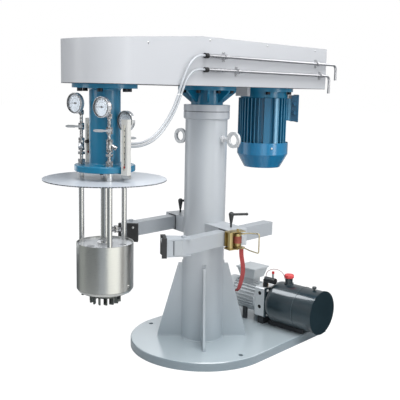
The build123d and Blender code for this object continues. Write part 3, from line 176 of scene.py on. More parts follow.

# Column, crossbar, gussets and their welds
# A DN200 steel tube with a welded cross beam and four gusset plates, all sprayed grey. Fillet welds join it
# to the base plate and show as thin rippled beads under the paint.
# Painted shade, cast blue-green as a painted reflection of the plate, darkens the grey below half a metre.
COLUMN_GREY = (182, 187, 192)
COLUMN_FOOT_SHADE = (122, 146, 158)
SHADE_TOP = 0.50
SHADE_RATE = 0.95
COLUMN_R = 0.1095
GUSSET_TURNS = (45, 135, 225, 315)
GUSSET_HALF = 0.006
GUSSET_HEIGHT = 0.425
GUSSET_FOOT = (0.113, 0.2405)
BEAD = 0.0045
WELD_SHARP = 1.2


def made(name, grid, finish, body, loop=True, sharp=0.6):
    """Mesh of a grid of points [copy, row, column], joined row to row and column to column.
    Columns close on themselves when loop is true; otherwise the grid's own shares are its UV map."""
    grid = np.asarray(grid, dtype=float)
    grid = grid[None] if grid.ndim == 3 else grid
    copies, rows, columns = grid.shape[:3]
    index = np.arange(copies * rows * columns).reshape(copies, rows, columns)
    here = index if loop else index[:, :, :-1]
    beside = np.roll(index, -1, axis=2) if loop else index[:, :, 1:]
    quads = np.stack([here[:, :-1], beside[:, :-1], beside[:, 1:], here[:, 1:]], axis=-1).reshape(-1, 4)
    mesh = bpy.data.meshes.new(name)
    mesh.from_pydata(grid.reshape(-1, 3).tolist(), [], quads.tolist())
    if not loop:
        share_u = np.broadcast_to(np.linspace(0, 1, columns), (copies, rows, columns)).reshape(-1)
        share_v = np.broadcast_to(np.linspace(0, 1, rows)[:, None], (copies, rows, columns)).reshape(-1)
        corners = np.stack([share_u[quads], share_v[quads]], axis=-1)
        mesh.uv_layers.new(name="shares").data.foreach_set("uv", corners.reshape(-1))
    work = bmesh.new()
    work.from_mesh(mesh)
    bmesh.ops.remove_doubles(work, verts=work.verts, dist=1e-6)
    bmesh.ops.recalc_face_normals(work, faces=work.faces)
    work.to_mesh(mesh)
    work.free()
    mesh.shade_smooth()
    mesh.set_sharp_from_angle(angle=sharp)
    mesh.materials.append(finish)
    piece = bpy.data.objects.new(name, mesh)
    bpy.context.collection.objects.link(piece)
    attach(piece, body)
    return piece


def unit(vectors):
    return vectors / np.linalg.norm(vectors, axis=-1, keepdims=True)


def carried(path, section, up=(0, 0, 1), ripple=0.0, pitch=1.0):
    """Section points (side, rise) carried along a path: p + side * S + rise * R, where S = T x up and
    R = S x T. ripple swells the section by a share, once every pitch points. Both ends close to a point."""
    path = np.asarray(path, dtype=float)
    section = np.asarray(section, dtype=float)
    tangent = unit(np.gradient(path, axis=0))
    side = unit(np.cross(tangent, up))
    rise = np.cross(side, tangent)
    swell = 1 + ripple * np.sin(2 * np.pi * np.arange(len(path)) / pitch)
    offset = side[:, None] * section[None, :, :1] + rise[:, None] * section[None, :, 1:]
    rows = path[:, None] + offset * swell[:, None, None]
    ends = np.repeat(path[[0, -1], None], len(section), axis=1)
    return np.concatenate([ends[:1], rows, ends[1:]])


def round_section(radius, sides=10):
    """Circle of points r * (cos a, sin a)."""
    angle = np.linspace(0, 2 * np.pi, sides, endpoint=False)
    return radius * np.stack([np.cos(angle), np.sin(angle)], axis=-1)


def bead_rows(start, end, up):
    """A straight fillet bead, rippled along its length."""
    return carried(np.linspace(start, end, 60), round_section(BEAD, 8), up, ripple=0.12, pitch=3.0)


# Painted shade: below SHADE_TOP the grey turns towards the blue-green foot colour.
column_paint = painted("column_paint", srgb(*COLUMN_GREY), roughness=0.34, coat=0.5,
                       patch=lambda finish: (SHADE_TOP - finish.z) * SHADE_RATE,
                       patch_colour=srgb(*COLUMN_FOOT_SHADE))
dress(column_paint, "column_tube", "clamp_crossbar")
around = np.linspace(0, 2 * np.pi, 241)
foot_ring = np.stack([COLUMN_R * np.cos(around), COLUMN_R * np.sin(around), 0 * around + PLATE_TOP], axis=-1)
made("weld_column_foot", carried(foot_ring, round_section(BEAD * 1.4), ripple=0.1, pitch=3.0),
     column_paint, "stand", sharp=WELD_SHARP)
gusset_beads = []
for turn in np.radians(GUSSET_TURNS):
    out = np.array([np.cos(turn), np.sin(turn), 0])
    across = np.array([-np.sin(turn), np.cos(turn), 0])
    for side in (-GUSSET_HALF, GUSSET_HALF):
        foot = across * side + [0, 0, PLATE_TOP]
        near, far = (out * reach + foot for reach in GUSSET_FOOT)
        gusset_beads.append(bead_rows(near, far, (0, 0, 1)))
        low = out * COLUMN_R + foot
        gusset_beads.append(bead_rows(low, low + [0, 0, GUSSET_HEIGHT], out))
made("weld_gussets", gusset_beads, column_paint, "stand", sharp=WELD_SHARP)

# Column collar
# A turned steel ring on the tube's head that guides the ram, with one groove for the wiper.
# It is sprayed with the column, and the wiper groove is painted dark as its shade.
GROOVE_Z = 1.265
GROOVE_HALF = 0.0022
# Painted shade: a dark band along the groove.
dress(painted("collar_paint", srgb(180, 184, 190), roughness=0.34, coat=0.4,
              patch=lambda finish: abs(finish.z - GROOVE_Z) < GROOVE_HALF, patch_colour=srgb(96, 100, 106)),
      "column_collar")

# Lifting eyes
# Two forged eye bolts, screwed into bosses on the column, in smooth pale zinc paint.
# They read a tone lighter than the column.
dress(painted("zinc_grey", srgb(204, 206, 208), roughness=0.3, coat=0.3), "eye_bolts")

# Vessel arms and their windows
# Rectangular steel tubes slide through the crossbar, sprayed a tone darker than the column.
# Black plastic liners frame the four mouths, each a moulded strip glued to the crossbar's skewed face.
SKEW = np.radians(13.5)
BAR_HALF = 0.060
ARM_Y = 0.232
ARM_Z = 0.649
ARM_HALF_WIDTH = 0.030
ARM_HALF_HEIGHT = 0.035
UNIT_SQUARE = np.array([[-1, -1], [1, -1], [1, 1], [-1, 1]])
LINER_SECTION = ((0.0006, -0.001), (0.0006, 0.002), (0.0045, 0.002), (0.0045, -0.001), (0.0006, -0.001))


def moulded(name, colour, roughness=0.45, pebble=0.02):
    """Moulded plastic or rubber: a fine pebbled skin, with faint grey wear."""
    finish = Finish(name)
    wear = finish.noise(25.0, detail=5.0)
    faded = tuple(min(1.0, c * 1.4 + 0.006) for c in colour[:3]) + (1.0,)
    body = finish.mixed(wear, colour, faded)
    return finish.done(Base_Color=body, Roughness=roughness + 0.15 * (wear - 0.5),
                       Normal=finish.bump(finish.noise(900.0, detail=1.0), pebble, 0.001))


arm_paint = painted("arm_paint", srgb(168, 173, 178), roughness=0.36, coat=0.4)
dress(arm_paint, "clamp_arm_front", "clamp_arm_rear")
black_plastic = moulded("black_plastic", srgb(28, 28, 30))
liner_rings = []
for arm_side in (-1, 1):
    for face in (-1, 1):
        rows = []
        for grow, proud in LINER_SECTION:
            y = arm_side * ARM_Y + UNIT_SQUARE[:, 0] * (ARM_HALF_WIDTH + grow)
            z = ARM_Z + UNIT_SQUARE[:, 1] * (ARM_HALF_HEIGHT + grow)
            x = (face * (BAR_HALF + proud) + y * np.sin(SKEW)) / np.cos(SKEW)
            rows.append(np.stack([x, y, z], axis=-1))
        liner_rings.append(rows)
made("window_liners", liner_rings, black_plastic, "stand")

# Pad holders and pads
# Grey pressed steel holders turn on pins in the arms' noses and carry moulded black rubber pads.
# Welded cheeks close their sides, and two zinc screws hold each pad.
HOLDERS = (("front", (-0.400, -ARM_Y), 140), ("rear", (-0.315, ARM_Y), 220))
SCREW_REACH = 0.1035
SCREW_SPREAD = 0.025
SCREW_RISE = 0.028
DOME = [(0, -0.002), (0.0065, -0.002), (0.0065, 0.001), (0.0055, 0.003), (0.003, 0.0042), (0, 0.0045)]
CHEEK_REACH = 0.0641
CHEEK_SPREAD = 0.0460
CHEEK_SECTION = np.array([(0.0001, -0.0101), (-0.0039, -0.0101), (-0.0001, 0.0101), (0.0039, 0.0101)])


def metal(name, colour, roughness, grain=(1, 1, 1), grain_scale=60.0, cloud=0.12, metallic=1.0):
    """Bare metal: a turned or brushed grain as noise squeezed along one axis, and cloudy gloss."""
    finish = Finish(name)
    lines = finish.noise(grain_scale, grain, detail=5.0)
    smear = finish.noise(9.0)
    dull = tuple(c * (1 - cloud) for c in colour[:3]) + (1.0,)
    body = finish.mixed(lines * 0.6 + smear * 0.4, dull, colour)
    rough = roughness + 0.18 * (smear - 0.5) + 0.1 * (lines - 0.5)
    return finish.done(Base_Color=body, Metallic=metallic, Roughness=rough,
                       Normal=finish.bump(lines, 0.25, 0.00002))


def turned(profile, centres, axis, sides=24):
    """Profile points (r, h) turned about an axis at each centre: c + r * (cos a * U + sin a * V) + h * W."""
    profile = np.asarray(profile, dtype=float)
    centres = np.atleast_2d(np.asarray(centres, dtype=float))
    w = unit(np.asarray(axis, dtype=float))
    helper = np.array([0.0, 0.0, 1.0]) if abs(w[2]) < 0.9 else np.array([1.0, 0.0, 0.0])
    u = unit(np.cross(helper, w))
    v = np.cross(w, u)
    angle = np.linspace(0, 2 * np.pi, sides, endpoint=False)
    ring = np.cos(angle)[:, None] * u + np.sin(angle)[:, None] * v
    local = profile[:, :1, None] * ring[None] + profile[:, 1:, None] * w
    return centres[:, None, None] + local[None]


holder_paint = painted("holder_paint", srgb(168, 174, 180), roughness=0.4)
dress(holder_paint, "pad_holder_front", "pad_holder_rear")
dress(moulded("pad_rubber", srgb(34, 35, 37), roughness=0.62, pebble=0.05), "pad_front", "pad_rear")
bright_zinc = metal("bright_zinc", srgb(205, 207, 208), 0.24, grain_scale=80.0)
for name, pivot, turn in HOLDERS:
    aim = np.array([np.cos(np.radians(turn)), np.sin(np.radians(turn)), 0])
    across = np.array([-aim[1], aim[0], 0])
    centre = np.array([*pivot, ARM_Z])
    screw_row = centre + [0, 0, SCREW_RISE] + aim * SCREW_REACH
    spots = [screw_row + across * spread for spread in (-SCREW_SPREAD, SCREW_SPREAD)]
    made(f"pad_screws_{name}", turned(DOME, spots, aim), bright_zinc, f"holder_{name}")
    cheeks = []
    for hand in (-1, 1):
        middle = centre + aim * CHEEK_REACH + across * CHEEK_SPREAD * hand
        upright = np.linspace(middle - [0, 0, ARM_HALF_HEIGHT], middle + [0, 0, ARM_HALF_HEIGHT], 5)
        cheeks.append(carried(upright, CHEEK_SECTION * [hand, 1], aim))
    made(f"holder_cheeks_{name}", cheeks, holder_paint, f"holder_{name}")

# Clamping levers
# Black moulded levers on cone hubs, screwed down onto the arms through the crossbar.
# The grip is worn a little grey.
dress(moulded("lever_black", srgb(38, 40, 42), roughness=0.5), "clamp_lever_front", "clamp_lever_rear")

# Strap winder
# Pressed steel frame, drum and post, zinc plated and yellow passivated, which gives gold and brown tints.
# The drum carries a few turns of the red webbing, in a darker brown.
DRUM = np.array([-0.08427, -0.299606, 0])
WRAP = ((0.0192, 0.627), (0.0208, 0.628), (0.0208, 0.662), (0.0192, 0.663))
RIBS = 260.0


def passivated(name, low, high, roughness):
    """Yellow passivated zinc: gold that drifts between two tones over a few centimetres."""
    finish = Finish(name)
    drift = finish.noise(38.0, (1, 1, 0.5))
    body = finish.mixed(drift, low, high)
    return finish.done(Base_Color=body, Metallic=1.0, Roughness=roughness + 0.2 * (finish.noise(90.0) - 0.5))


def woven(name, stripe, ground):
    """Webbing: ribs across the length, told by v, and darker stripes along both edges, told by u."""
    finish = Finish(name)
    u, v = finish.shares()
    rib = abs((v * RIBS) % 1.0 - 0.5) * 2.0
    edge = (u < 0.17) + (u > 0.80) * (u < 0.86)
    body = finish.mixed(edge, ground, stripe)
    body = finish.mixed(rib * 0.35, body, srgb(112, 36, 34))
    return finish.done(Base_Color=body, Roughness=0.75 + 0.1 * rib, Normal=finish.bump(rib, 0.5, 0.0006))


dress(passivated("gold_zinc", srgb(148, 126, 82), srgb(214, 198, 146), 0.36), "ratchet_frame")
dress(passivated("pale_zinc", srgb(176, 158, 118), srgb(218, 206, 170), 0.34), "ratchet_handle")
turns = np.linspace(0, 2 * np.pi, 37)
wrap_rows = [DRUM + np.stack([r * np.cos(turns), r * np.sin(turns), 0 * turns + z], axis=-1) for r, z in WRAP]
brown_webbing = woven("brown_webbing", srgb(84, 44, 38), srgb(158, 84, 66))
made("drum_webbing", wrap_rows, brown_webbing, "stand", loop=False)

# Strap
# Red polyester webbing, 22 mm wide, that hangs from the winder's drum and swings in behind the gusset.
# Its free end lies out of sight.
STRAP_ROUTE = [
    (-0.067, -0.312, 0.600), (-0.067, -0.312, 0.568), (-0.056, -0.312, 0.530), (-0.034, -0.301, 0.489),
    (-0.005, -0.277, 0.449), (0.026, -0.247, 0.412), (0.059, -0.215, 0.378), (0.094, -0.181, 0.347),
    (0.130, -0.148, 0.319), (0.163, -0.112, 0.295), (0.190, -0.078, 0.273)]
STRAP_SECTION = np.array([(-0.0105, -0.0011), (0.0105, -0.0011), (0.011, 0), (0.0105, 0.0011),
                          (-0.0105, 0.0011), (-0.011, 0), (-0.0105, -0.0011)])
STRAP_TURN = np.radians(-48)


def routed(name, route):
    """Smooth curve whose control points are the route; it starts and ends at the route's ends."""
    curve = bpy.data.curves.new(name, "CURVE")
    curve.dimensions = "3D"
    spline = curve.splines.new("NURBS")
    spline.points.add(len(route) - 1)
    spline.points.foreach_set("co", np.column_stack([route, np.ones(len(route))]).reshape(-1))
    spline.order_u = 3
    spline.use_endpoint_u = True
    curve.resolution_u = 12
    piece = bpy.data.objects.new(name, curve)
    bpy.context.collection.objects.link(piece)
    return piece


def read_line(piece):
    """Points along a curve with no bevel, in order."""
    mesh = bpy.data.meshes.new_from_object(piece)
    points = np.empty(len(mesh.vertices) * 3)
    mesh.vertices.foreach_get("co", points)
    bpy.data.meshes.remove(mesh)
    return points.reshape(-1, 3)


strap_curve = routed("strap_line", STRAP_ROUTE)
strap_line = read_line(strap_curve)
bpy.data.objects.remove(strap_curve)
across = np.array([np.cos(STRAP_TURN), np.sin(STRAP_TURN), 0])
proud = unit(np.cross(unit(np.gradient(strap_line, axis=0)), across))
strap_rows = strap_line[:, None] + STRAP_SECTION[:, :1] * across + STRAP_SECTION[:, 1:] * proud[:, None]
strap_ends = np.repeat(strap_line[[0, -1], None], len(STRAP_SECTION), axis=1)
strap_rows = np.concatenate([strap_ends[:1], strap_rows, strap_ends[1:]])
webbing = woven("webbing", srgb(104, 44, 48), srgb(194, 80, 80))
strap = made("red_strap", strap_rows, webbing, "stand", loop=False)
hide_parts("strap")

# Power unit: oil tank
# A deep-drawn steel tank in gloss blue-black, rolled to its end cap, on rubber mounts and with a red filler
# cap. Its square front plate has four zinc screws, which are told from the plate by their place.
TANK_X = 0.460
TANK_Z = 0.177
CORNER = 0.063
SCREW_BACK, SCREW_FRONT = -0.1503, -0.1575
TANK_SEAM_Y = -0.345
TANK_SEAM_HALF = 0.0012


def tank_finish():
    finish = Finish("tank_black")
    smear = finish.noise(6.0)
    corner = (abs(finish.x - TANK_X) > CORNER) * (abs(finish.z - TANK_Z) > CORNER)
    screw = corner * (finish.y < SCREW_BACK) * (finish.y > SCREW_FRONT)
    seam = abs(finish.y - TANK_SEAM_Y) < TANK_SEAM_HALF
    body = finish.mixed(smear, srgb(14, 30, 36), srgb(30, 50, 58))
    body = finish.mixed(seam * 0.6, body, srgb(120, 134, 140))
    body = finish.mixed(screw, body, srgb(225, 226, 226))
    return finish.done(Base_Color=body, Roughness=0.3 + 0.1 * smear, Coat_Weight=1.0, Coat_Roughness=0.08,
                       Normal=finish.bump(finish.noise(300.0, detail=1.0), 0.03, 0.001))


dress(tank_finish(), "hpu_tank")
dress(moulded("mount_rubber", srgb(36, 40, 44), roughness=0.6), "hpu_mounts")
dress(moulded("cap_red", srgb(200, 66, 68), roughness=0.38), "filler_cap")

# Power unit: pump motor, pump block and valves
# A cast motor in pale grey paint drives a milled aluminium block, which carries a brass cartridge valve and a
# black release coil with a red knob. Block and valves are one node, so each finish is set by its place.
VALVES_FOOT = 0.2623
COIL_FRONT = -0.1115
COIL_SIDE = 0.4225
CAP_FOOT = 0.3042
STEM_FOOT = 0.3258
KNOB_FOOT = 0.3508
PLUG_FACE, PLUG_BACK = 0.3755, 0.387
PLUG_Y = -0.105
PLUG_Z = 0.188
PLUG_RISE = 0.040
PLUG_R = 0.0113


def block_finish():
    """Milled block; above its top face the coil stands at the front left, and what is left is brass."""
    finish = Finish("block_parts")
    lines = finish.noise(70.0, (1, 1, 8), detail=5.0)
    above = finish.z > VALVES_FOOT
    coil = above * (finish.y < COIL_FRONT) * (finish.x < COIL_SIDE)
    brass = above - coil
    cap = brass * (finish.z > CAP_FOOT)
    knob = coil * (finish.z > KNOB_FOOT)
    stem = coil * (finish.z > STEM_FOOT) - knob
    height = abs(abs(finish.z - PLUG_Z) - PLUG_RISE)
    face = (finish.x > PLUG_FACE) * (finish.x < PLUG_BACK)
    plug = face * (abs(finish.y - PLUG_Y) < PLUG_R) * (height < PLUG_R)
    body = finish.mixed(lines, srgb(214, 218, 220), srgb(238, 240, 241))
    for share, colour in ((brass, srgb(176, 132, 74)), (coil, srgb(30, 32, 34)), (stem, srgb(150, 152, 154)),
                          (cap, srgb(34, 34, 36)), (knob, srgb(200, 40, 44)), (plug, srgb(24, 24, 26))):
        body = finish.mixed(share, body, colour)
    return finish.done(Base_Color=body, Metallic=0.4 * (1.0 - coil - cap - plug + stem),
                       Roughness=0.34 + 0.12 * lines, Normal=finish.bump(lines, 0.15, 0.0001))


dress(block_finish(), "hpu_manifold")
dress(painted("motor_casting", srgb(194, 199, 202), roughness=0.4, coat=0.1), "hpu_motor")

# Power unit: red wire
# A thin insulated lead from the cartridge valve over to the filler neck.
# It is stiff enough to stand in its arch.
WIRE_ROUTE = [
    (0.430, -0.105, 0.314), (0.430, -0.105, 0.330), (0.433, -0.113, 0.348), (0.439, -0.131, 0.361),
    (0.446, -0.155, 0.367), (0.452, -0.179, 0.364), (0.456, -0.199, 0.354), (0.458, -0.212, 0.338),
    (0.459, -0.2155, 0.323), (0.4595, -0.221, 0.312), (0.4595, -0.221, 0.302)]
WIRE_R = 0.0015


def cable(name, route, radius, roundness, finish):
    """A round line along a route, with closed ends."""
    piece = routed(name, route)
    piece.data.bevel_depth = radius
    piece.data.bevel_resolution = roundness
    piece.data.use_fill_caps = True
    piece.data.materials.append(finish)
    return piece


wire = cable("red_wire", WIRE_ROUTE, WIRE_R, 3, moulded("wire_red", srgb(120, 30, 34), roughness=0.5))
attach(wire, "stand")
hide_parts("hpu_wire")

# Lift cylinder, ram and its flange
# The ram is a ground steel tube; its ribbed flange, the head's housing and the motor's flange are castings in
# teal gloss, bolted to the beam. The barrel, the rod and the spindle's bearings are hidden.
ground_steel = metal("ground_steel", srgb(196, 198, 200), 0.22, (1, 1, 14))
dress(ground_steel, "lift_cylinder", "ram", "spindle_bearings")
teal_paint = painted("teal_paint", srgb(12, 112, 148), roughness=0.28, coat=0.25)
dress(teal_paint, "ram_flange", "head_housing", "motor_flange")

# Drive motor
# A cast frame with vertical fins under a bearing shield, a pressed fan cover and a side terminal box.
# All are sprayed blue and the fan cover is the smoothest. A pale stripe down the fins and the fins' outer
# edges are painted highlight, and the terminal box's darker blue is painted shade.
MOTOR_X = 0.489
HIGHLIGHT_STRIPE_EAST = -0.057
HIGHLIGHT_STRIPE_HALF_WIDTH = 0.013
HIGHLIGHT_STRIPE_BACK = -0.12
FIN_EDGE_R = 0.1425
PAD_EAST = -0.1007
PAD_HALF = 0.018
EDGE_HIGHLIGHT_SHARE = 0.55
COVER_R = 0.1452
COVER_SCREW_Z = 1.058
COVER_SCREW_TURNS = np.radians([238, 328, 58, 148])


def motor_painted_highlight(finish):
    """Share of painted highlight: a stripe down the fins, and the outer edges of the fins but for the smooth
    pad.
    """
    east = finish.x - MOTOR_X
    highlight_stripe = (abs(east - HIGHLIGHT_STRIPE_EAST) < HIGHLIGHT_STRIPE_HALF_WIDTH) * (finish.y < HIGHLIGHT_STRIPE_BACK)
    edges = (east * east + finish.y * finish.y > FIN_EDGE_R ** 2) * (abs(east - PAD_EAST) > PAD_HALF)
    return highlight_stripe + edges * EDGE_HIGHLIGHT_SHARE


# Painted highlight: the pale blue goes on the stripe and on the fins' outer edges.
dress(painted("motor_paint", srgb(18, 98, 134), roughness=0.3, coat=0.2, patch=motor_painted_highlight,
              patch_colour=srgb(104, 160, 190)), "motor_frame")
# Painted shade: the terminal box takes a darker copy of the motor's blue.
dress(painted("box_shaded_paint", srgb(14, 78, 110), roughness=0.34, coat=0.2), "motor_terminal_box")
dress(painted("cover_paint", srgb(24, 118, 164), roughness=0.2, coat=0.6), "fan_cover")
cover_screws = np.stack([MOTOR_X + COVER_R * np.cos(COVER_SCREW_TURNS), COVER_R * np.sin(COVER_SCREW_TURNS),
                         0 * COVER_SCREW_TURNS + COVER_SCREW_Z], axis=-1)
for count, spot in enumerate(cover_screws):
    screw = turned(DOME, spot, spot - [MOTOR_X, 0, COVER_SCREW_Z])
    made(f"cover_screw_{count}", screw, bright_zinc, "beam")

# Beam and hood
# A plate beam inside a folded sheet hood with welded corners, sprayed pale grey.
# A thin black strip runs under the sheet's lower edge, and small screws hold the roof.
HEAD_X = -0.682
REAR_X = 0.8215
EDGE_R = 0.1895
EDGE_Z = 1.3925
EDGE_SECTION = [(-0.0016, -0.0012), (0.0016, -0.0012), (0.0016, 0.0010), (-0.0016, 0.0010)]
ROOF_SCREWS = [(-0.60, -0.1915, 1.570), (-0.20, -0.1915, 1.606), (0.25, -0.1915, 1.606),
               (0.70, -0.1915, 1.606)]
BUTTON = [(0, -0.001), (0.0045, -0.001), (0.0045, 0.0006), (0.003, 0.0020), (0, 0.0024)]
dress(painted("hood_paint", srgb(186, 188, 192), roughness=0.42, coat=0.12), "hood_shell", "beam_plate")
nose = np.linspace(-np.pi / 2, -3 * np.pi / 2, 61)
edge_x = np.concatenate([[REAR_X], HEAD_X + EDGE_R * np.cos(nose), [REAR_X, REAR_X]])
edge_y = np.concatenate([[-EDGE_R], EDGE_R * np.sin(nose), [EDGE_R, -EDGE_R]])
edging = np.stack([edge_x, edge_y, 0 * edge_x + EDGE_Z], axis=-1)
made("hood_edging", carried(edging, EDGE_SECTION), black_plastic, "beam")
made("roof_screws", turned(BUTTON, ROOF_SCREWS, (0, -1, 0), 12), bright_zinc, "beam")

# Screws of the head, foot, flare and motor
# Socket head screws, blackened, in the flanges' undersides.
# The beam's bolts are the largest.
dress(metal("black_oxide", srgb(52, 54, 58), 0.36, grain_scale=140.0), "head_bolts")

# Belt drive
# Grooved iron pulleys on the spindle and the motor shaft, with three rubber belts.
# The hood hides them, and they keep a machined and a rubber look.
dress(metal("turned_iron", srgb(150, 152, 154), 0.4, (1, 1, 10)), "spindle_pulley", "motor_pulley")
dress(moulded("belt_rubber", srgb(30, 30, 32), roughness=0.7), "drive_belts")

# Tie tubes, shaft sleeve, spindle and splash disc
# Polished stainless tubes hang the basket from the head's foot; the lathe left its grain round them.
# The disc is smooth pale sheet with a dark strip round its edge.
DISC_R = 0.2788
DISC_Z = 0.96675
DISC_EDGE = [(-0.0012, -0.0026), (0.0012, -0.0026), (0.0012, 0.0016), (-0.0012, 0.0016)]
stainless = metal("stainless", srgb(216, 216, 216), 0.2, (1, 1, 18), 50.0)
dress(stainless, "tie_tubes", "shaft_sleeve", "spindle_shaft", "motor_shaft", "agitator")
dress(painted("disc_sheet", srgb(190, 196, 204), roughness=0.3, coat=0.2), "splash_disc")
rim = np.linspace(0, 2 * np.pi, 181)
rim_path = np.stack([HEAD_X + DISC_R * np.cos(rim), DISC_R * np.sin(rim), 0 * rim + DISC_Z], axis=-1)
dark_edge = metal("dark_edge", srgb(66, 68, 78), 0.4)
made("disc_edge", carried(rim_path, DISC_EDGE), dark_edge, "beam")

# Basket
# A rolled stainless shell, brushed round, with a chamfered foot, a pale recessed lid and a slotted screen.
# The lower seam is a fine welded line, ground flush.
BASKET_SEAM_Z = 0.4605
BASKET_SEAM_HALF = 0.0012


def basket_finish():
    finish = Finish("brushed_basket")
    lines = finish.noise(40.0, (1, 1, 26), detail=6.0)
    smear = finish.noise(5.0, (1, 1, 0.25))
    seam = abs(finish.z - BASKET_SEAM_Z) < BASKET_SEAM_HALF
    body = finish.mixed(lines * 0.5 + smear * 0.5, srgb(176, 178, 177), srgb(224, 224, 220))
    body = finish.mixed(seam * 0.7, body, srgb(120, 120, 112))
    return finish.done(Base_Color=body, Metallic=1.0, Roughness=0.2 + 0.16 * lines + 0.06 * smear,
                       Normal=finish.bump(lines, 0.3, 0.00002))


dress(basket_finish(), "basket_shell")
dress(painted("lid_sheet", srgb(224, 226, 229), roughness=0.26, coat=0.4), "basket_lid")
dress(metal("screen_sheet", srgb(120, 122, 120), 0.36), "basket_screen")
dress(metal("impeller_steel", srgb(96, 100, 98), 0.3, grain_scale=90.0, cloud=0.3), "pump_impeller")

# Pressure gauges
# Stainless cases with a black bezel, a white printed dial and a glass, on the pipework of the head.
# Each dial has 270 degrees of ticks under an arc, and a second arc inside them.
GAUGES = {"left": (-0.80555, 0.06360, 1.305), "middle": (-0.78546, -0.09429, 1.293),
          "right": (-0.66890, -0.11639, 1.232)}
FACE = np.array([np.cos(np.radians(188)), np.sin(np.radians(188)), 0])
LEFTWARD = np.cross(FACE, [0, 0, 1])
DIAL_R = 0.0396
DIAL_DEPTH = 0.0088
FINE_TICKS = 66.6667
BOLD_TICKS = 13.3333
BEZEL = [(DIAL_R, -DIAL_DEPTH), (0.0399, -0.001), (0.0399, 0.0004), (0.0420, 0.0004), (0.0420, -0.0004)]
LENS = [(0, -0.0022), (0.0394, -0.0022), (0.0394, -0.0008), (0.02, -0.0002), (0, 0)]


def dial_finish():
    """White dial: u runs round the dial from the bottom, v from the centre to the rim."""
    finish = Finish("dial_print")
    u, v = finish.shares()
    sweep = (u > 0.12) * (u < 0.88)
    fine = (abs((u * FINE_TICKS) % 1.0 - 0.5) > 0.36) * (v > 0.80) * (v < 0.88)
    bold = (abs((u * BOLD_TICKS) % 1.0 - 0.5) > 0.42) * (v > 0.70) * (v < 0.88)
    arcs = (abs(v - 0.88) < 0.012) + (abs(v - 0.52) < 0.012)
    ink = (fine + bold + arcs) * sweep
    cloud = finish.noise(30.0)
    body = finish.mixed(cloud, srgb(206, 213, 222), srgb(222, 228, 236))
    return finish.done(Base_Color=finish.mixed(ink, body, srgb(36, 40, 52)), Roughness=0.4 + 0.1 * cloud)


def glazed(name, tint):
    """Clear glass with a tint, faintly smeared."""
    finish = Finish(name)
    return finish.done(Base_Color=tint, Roughness=0.04 + 0.05 * finish.noise(20.0), IOR=1.46,
                       Transmission_Weight=1.0)


dress(metal("case_metal", srgb(224, 225, 227), 0.2, grain_scale=70.0, metallic=0.75), "gauge_cases")
dress(black_plastic, "gauge_needle_left", "gauge_needle_middle", "gauge_needle_right")
dial_print = dial_finish()
gauge_glass = glazed("gauge_glass", (0.95, 0.97, 0.98, 1))
angle = np.linspace(0, 2 * np.pi, 49)
ray = -np.cos(angle)[:, None] * np.array([0, 0, 1]) + np.sin(angle)[:, None] * LEFTWARD
radius = np.linspace(0, DIAL_R, 9)
for name, centre in GAUGES.items():
    centre = np.array(centre)
    dial = centre - FACE * DIAL_DEPTH + radius[:, None, None] * ray
    made(f"dial_{name}", dial, dial_print, "beam", loop=False)
    made(f"bezel_{name}", turned(BEZEL, centre, FACE, 48), black_plastic, "beam")
    glass = made(f"lens_{name}", turned(LENS, centre, FACE, 48), gauge_glass, "beam")
    glass.visible_shadow = False

# Pipework and ball valves
# Stainless fittings: nuts, strainers, unions and valves, screwed together, with bright levers.
# The cast bodies are bright on their faces and dark in their pits.


def fitting_finish():
    """Cast and turned stainless: bright faces with dark pits."""
    finish = Finish("fitting_metal")
    cast = finish.noise(120.0, detail=2.0)
    body = finish.mixed(cast * 2.6 - 0.8, srgb(92, 88, 86), srgb(244, 244, 246))
    return finish.done(Base_Color=body, Metallic=0.8, Roughness=0.18 + 0.16 * cast,
                       Normal=finish.bump(cast, 0.4, 0.0006))


dress(fitting_finish(), "pipe_stacks")
lever_metal = metal("lever_metal", srgb(222, 223, 225), 0.2, metallic=0.7)
dress(lever_metal, "valve_lever_left", "valve_lever_middle", "valve_lever_right")

# Flow meters
# Pale acrylic blocks with a bright metal foot and a black knob.
# A strip with a printed scale stands in the window, with a small red float in front of it.
METERS = {"front": (-0.699, -0.162, 1.022, 1.218), "rear": (-0.6845, 0.104, 1.069, 1.213)}
METER_FOOT_Z = 1.0
WINDOW_DEPTH = 0.0088
STRIP_HALF = 0.0068
FLOAT = [(0, -0.005), (0.0022, -0.003), (0.0035, 0.004), (0.0035, 0.006), (0, 0.006)]
FLOAT_PROUD = 0.0036
FLOAT_RISE = 0.012


def meter_finish():
    finish = Finish("acrylic_block")
    cloud = finish.noise(12.0, (1, 1, 0.3))
    foot = finish.z < METER_FOOT_Z
    body = finish.mixed(cloud, srgb(186, 186, 182), srgb(210, 210, 206))
    body = finish.mixed(foot, body, srgb(176, 178, 178))
    return finish.done(Base_Color=body, Roughness=0.12 + 0.06 * cloud, Metallic=foot, Coat_Weight=0.5,
                       Coat_Roughness=0.06)


def scale_finish():
    """Printed strip: u across it, v up it."""
    finish = Finish("scale_print")
    u, v = finish.shares()
    tick = (abs((v * 40.0) % 1.0 - 0.5) > 0.30) * (u > 0.2) * (u < 0.62)
    bold = (abs((v * 8.0) % 1.0 - 0.5) > 0.40) * (u > 0.2) * (u < 0.8)
    rule = abs(u - 0.3) < 0.09
    column = (v < 0.5) * (abs(u - 0.5) < 0.12)
    ink = (tick + bold + rule + column) * (v > 0.06) * (v < 0.94)
    return finish.done(Base_Color=finish.mixed(ink, srgb(214, 212, 200), srgb(40, 42, 48)),
                       Roughness=0.35 + 0.1 * finish.noise(40.0))


